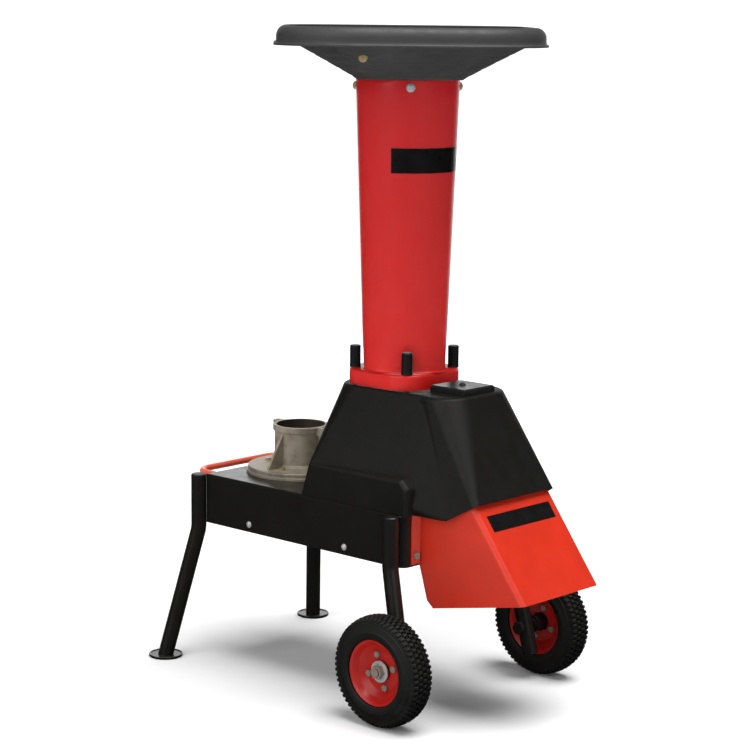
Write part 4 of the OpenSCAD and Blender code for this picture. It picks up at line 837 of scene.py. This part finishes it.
def make_tyre(side):
    """Carcass with stepped side walls, and its tread."""
    node = side + "_tyre"
    hub_low, hub_high = box_mm(side + "_hub")
    low, high = box_mm(node)
    axle = ((hub_low[0] + hub_high[0]) / 2, (low[1] + high[1]) / 2, (hub_low[2] + hub_high[2]) / 2)
    far_wall = [(r, -y) for r, y in reversed(TYRE_WALL)]
    bm = turned(TYRE_WALL + TYRE_CROWN + far_wall + TYRE_INSIDE + TYRE_WALL[:1], TYRE_SIDES)
    turn = Matrix.Translation(Vector(axle) * MM) @ Matrix.Rotation(-math.pi / 2, 4, "X")
    bmesh.ops.transform(bm, matrix=turn, verts=bm.verts)
    add_tread(bm, axle)
    bmesh.ops.remove_doubles(bm, verts=bm.verts, dist=TYRE_WELD)
    bmesh.ops.recalc_face_normals(bm, faces=bm.faces)
    name = node + "_tread"
    add_piece(name, mesh_of(name, bm), TYRE_RUBBER, TYRE_SHARP, BODY_OF[node], SLOT_OF[node], [node])


# Blank labels

LABEL_GAP = 0.12
LABEL_THICK = 0.5
TUBE_LABEL_LOW = 1046.0
TUBE_LABEL_HIGH = 1094.5
TUBE_LABEL_REACH = math.radians(66.5)
CHUTE_LEAN = math.radians(36.8)
CHUTE_TIP_Z = 257.0
# Along the chute's slope from its tip, and to each side of its middle
CHUTE_LABEL_LOW = 155.5
CHUTE_LABEL_HIGH = 189.5
CHUTE_LABEL_HALF = 94.0


def plate_mesh(name, point, columns, rows):
    """Thin closed plate over a surface.

    point(u, v, lift) gives its places in metres, for u and v from 0 to 1 and a lift in mm.
    """
    verts = []
    for lift in (LABEL_GAP, LABEL_GAP + LABEL_THICK):
        for j in range(rows + 1):
            verts += [point(i / columns, j / rows, lift) for i in range(columns + 1)]
    faces = []
    stride = columns + 1
    layer = stride * (rows + 1)
    for j in range(rows):
        for i in range(columns):
            a = j * stride + i
            b = a + layer
            faces.append((a, a + stride, a + stride + 1, a + 1))
            faces.append((b, b + 1, b + stride + 1, b + stride))
    rim = [j * stride for j in range(rows + 1)] + [rows * stride + i for i in range(1, columns + 1)]
    rim += [j * stride + columns for j in range(rows - 1, -1, -1)] + list(range(columns - 1, 0, -1))
    for a, b in zip(rim, rim[1:] + rim[:1]):
        faces.append((a, b, b + layer, a + layer))
    return mesh_from(name, verts, faces)


def make_tube_label():
    """Blank dark plate wrapped round the front of the tube."""
    def point(u, v, lift):
        z = TUBE_LABEL_LOW + (TUBE_LABEL_HIGH - TUBE_LABEL_LOW) * v
        a = -TUBE_LABEL_REACH + 2 * TUBE_LABEL_REACH * u
        return round_feed(tube_ring(z, 0.0)[1](a) + lift, a, z)

    mesh = plate_mesh("tube_label", point, columns=56, rows=4)
    add_piece("tube_label", mesh, LABEL_FILM, SMALL_SHARP, "frame", "black_plastic")


def make_chute_label():
    """Blank dark plate on the sloping front of the chute."""
    def point(u, v, lift):
        up = CHUTE_LABEL_LOW + (CHUTE_LABEL_HIGH - CHUTE_LABEL_LOW) * v
        x = CHUTE_FRONT - up * math.sin(CHUTE_LEAN) + lift * math.cos(CHUTE_LEAN)
        z = CHUTE_TIP_Z + up * math.cos(CHUTE_LEAN) + lift * math.sin(CHUTE_LEAN)
        return x * MM, CHUTE_LABEL_HALF * (2 * u - 1) * MM, z * MM

    mesh = plate_mesh("chute_label", point, columns=8, rows=2)
    add_piece("chute_label", mesh, LABEL_FILM, SMALL_SHARP, "frame", "black_plastic")


# Dressing

HANDLE_COAT = 0.8
AXLE_WASHER = 4.2
SOCKET_R = 60.0
SOCKET_TURN = 0.3


def inside_wheels(face):
    """Faces of the axles between a wheel and the machine."""
    return abs(face.center.y) < HUB_MID * MM


def axle_washer(face):
    """Faces of the axle nuts that belong to their washers or lie further in."""
    return abs(face.center.y) < (HUB_END + AXLE_WASHER) * MM


def shaded_socket_face(face):
    """The bored faces inside the bell, which get a dark metal with painted shade."""
    out = Vector((face.center.x - BELL_X * MM, face.center.y))
    return out.length < SOCKET_R * MM and out.dot(face.normal.xy) < -SOCKET_TURN * out.length


def near_hopper_bolt(face):
    """Faces of the hopper bolt in front on the right."""
    return face.center.x > FEED_X * MM and face.center.y < 0


make_feed_tube()
make_hopper()
make_funnel_bolts()
make_tray_washers()
make_bell_step()
make_tube_label()
make_chute_label()

for leg in ("rear_leg_right", "rear_leg_left", "front_leg_right", "front_leg_left"):
    dress(leg, BLACK_PAINT, degrees=40)
dress("deck_box", BLACK_PAINT, width=0.7)
dress("rear_feet", BLACK_PAINT)
dress("leg_caps", NUT_PLASTIC)
dress("bottom_tray", BLACK_PAINT, width=0.4, segments=1)
dress("tray_screws", ZINC, width=0.3)
handle = dress("lifting_handle", HANDLE_PAINT, width=0.3, segments=1, degrees=50)
thicken(handle, HANDLE_COAT)
dress("housing_cover", COVER_PLASTIC, width=1.2, segments=3, degrees=24)
dress("access_cap", CAP_PLASTIC, width=1.2, segments=3, degrees=20)
dress("cap_screw", NUT_PLASTIC, width=0.3)
chute = dress("discharge_chute", ORANGE_PAINT)
chute.visible_diffuse = False
dress("chute_bolts", DULL_ZINC)
dress("clamp_nuts", NUT_PLASTIC, width=0.6)
dress("hopper_bolts", YELLOW_ZINC, width=0.3, others=[(ZINC, near_hopper_bolt)])
dress("bell_screws", YELLOW_ZINC)
dress("axle_bolts", DULL_ZINC, others=[(BLACK_PAINT, inside_wheels)])
dress("axle_nuts", DULL_ZINC, others=[(ZINC, axle_washer), (BLACK_PAINT, inside_wheels)])
dress("engine_bell", CAST_SKIN, width=1.0, segments=3, others=[(SHADED_BELL_SOCKET, shaded_socket_face)])
for side in ("right", "left"):
    make_tyre(side)
    dress(side + "_rim", RIM_PAINT, width=1.0, segments=3, degrees=14, sharp=40)
    dress(side + "_hub", NUT_PLASTIC, width=0.6)
    dress(side + "_rim_bolts", DULL_ZINC)

for node in ("drive_bearings", "drive_shaft", "engine_coupling", "drive_shaft_nut", "rotor_shaft",
             "rotor_disc", "rotor_knives", "knife_screws", "hammer_pins", "fan_vanes", "rotor_nuts",
             "hammer_1", "hammer_2", "hammer_3", "hammer_4", "counter_blade", "rotor_bearings",
             "clamp_studs"):
    recolour(node, STEEL)
for node in ("chamber_housing", "chamber_lid"):
    recolour(node, SHEET_STEEL)
for node in ("handle_bolts", "chamber_bolts", "housing_bolts"):
    recolour(node, ZINC)
for node in ("rotor_bearing_housing", "drive_pulley", "rotor_pulley"):
    recolour(node, CAST_IRON)
recolour("drive_belt", BELT_RUBBER)


# Studio. The camera's values are a fit to the photograph.

FLOOR_HALF = 400.0
FARTHEST_M = 2000.0
PHOTO_PIXELS = 750
FOCAL_PIXELS = 2203.53
SENSOR = 36.0
CAMERA_AZIMUTH = math.radians(42.61)
CAMERA_ELEVATION = math.radians(9.54)
CAMERA_ROLL = math.radians(0.62)
CAMERA_DISTANCE = 4479.01
CAMERA_TARGET = Vector((-79.43 + FEED_X, 0.0, 625.17))


def make_floor():
    """Plain pale paper that lamps light and nothing mirrors."""
    corners = [(x * FLOOR_HALF, y * FLOOR_HALF, 0) for x, y in ((-1, -1), (1, -1), (1, 1), (-1, 1))]
    mesh = bpy.data.meshes.new("floor")
    mesh.from_pydata(corners, [], [(0, 1, 2, 3)])
    m = Nodes("floor_paper", (0.9, 0.9, 0.9), rough=0.9)
    m.colour(m.ramp(m.noise(1.5, detail=2.0), [(0.3, (0.89, 0.89, 0.89)), (0.7, (0.91, 0.91, 0.91))]))
    m.set("Specular IOR Level", 0.0)
    mesh.materials.append(m.mat)
    floor = add_object("floor", mesh)
    floor.visible_glossy = False


def add_lamp(name, light, towards):
    """A lamp that shines along a direction."""
    lamp = add_object(name, light)
    lamp.rotation_euler = Vector(towards).to_track_quat("-Z", "Y").to_euler()
    return lamp


def add_area(name, at, to, size, power):
    light = bpy.data.lights.new(name, "AREA")
    light.shape = "RECTANGLE"
    light.size, light.size_y = size
    light.energy = power
    lamp = add_lamp(name, light, Vector(to) - Vector(at))
    lamp.location = at


def add_sun(name, towards, strength, spread):
    """Wide soft light from one direction, the same everywhere."""
    light = bpy.data.lights.new(name, "SUN")
    light.energy = strength
    light.angle = math.radians(spread)
    add_lamp(name, light, towards)


def make_world(strength):
    """White surroundings that only the camera sees."""
    world = bpy.data.worlds.new("studio")
    bpy.context.scene.world = world
    world.use_nodes = True
    background = world.node_tree.nodes["Background"]
    background.inputs["Color"].default_value = (1, 1, 1, 1)
    background.inputs["Strength"].default_value = strength
    world.cycles_visibility.diffuse = False
    world.cycles_visibility.glossy = False


def make_camera():
    """Camera at the photograph's angle, with its small roll."""
    az, el = CAMERA_AZIMUTH, CAMERA_ELEVATION
    back = Vector((math.sin(az) * math.cos(el), -math.cos(az) * math.cos(el), math.sin(el)))
    level = Vector((math.cos(az), math.sin(az), 0.0))
    upright = back.cross(level)
    right = level * math.cos(CAMERA_ROLL) + upright * math.sin(CAMERA_ROLL)
    up = upright * math.cos(CAMERA_ROLL) - level * math.sin(CAMERA_ROLL)
    data = bpy.data.cameras.new("camera")
    data.sensor_width = SENSOR
    data.lens = FOCAL_PIXELS / PHOTO_PIXELS * SENSOR
    data.clip_end = FARTHEST_M
    camera = add_object("camera", data)
    camera.matrix_world = axes_at(right, up, back, (CAMERA_TARGET + back * CAMERA_DISTANCE) * MM)
    bpy.context.scene.camera = camera


make_floor()
make_world(strength=1.05)
make_camera()
add_sun("top", towards=(-0.21, -0.06, -1.0), strength=3.7, spread=42.0)
add_sun("front", towards=(0.05, 0.8, -0.5), strength=1.3, spread=50.0)
add_sun("side", towards=(-0.9, 0.25, -0.45), strength=0.35, spread=50.0)
add_area("back", at=(-2.6, 3.4, 1.2), to=(0, 0, 0.7), size=(5.0, 2.4), power=60)
bpy.context.scene.view_settings.view_transform = "Standard"
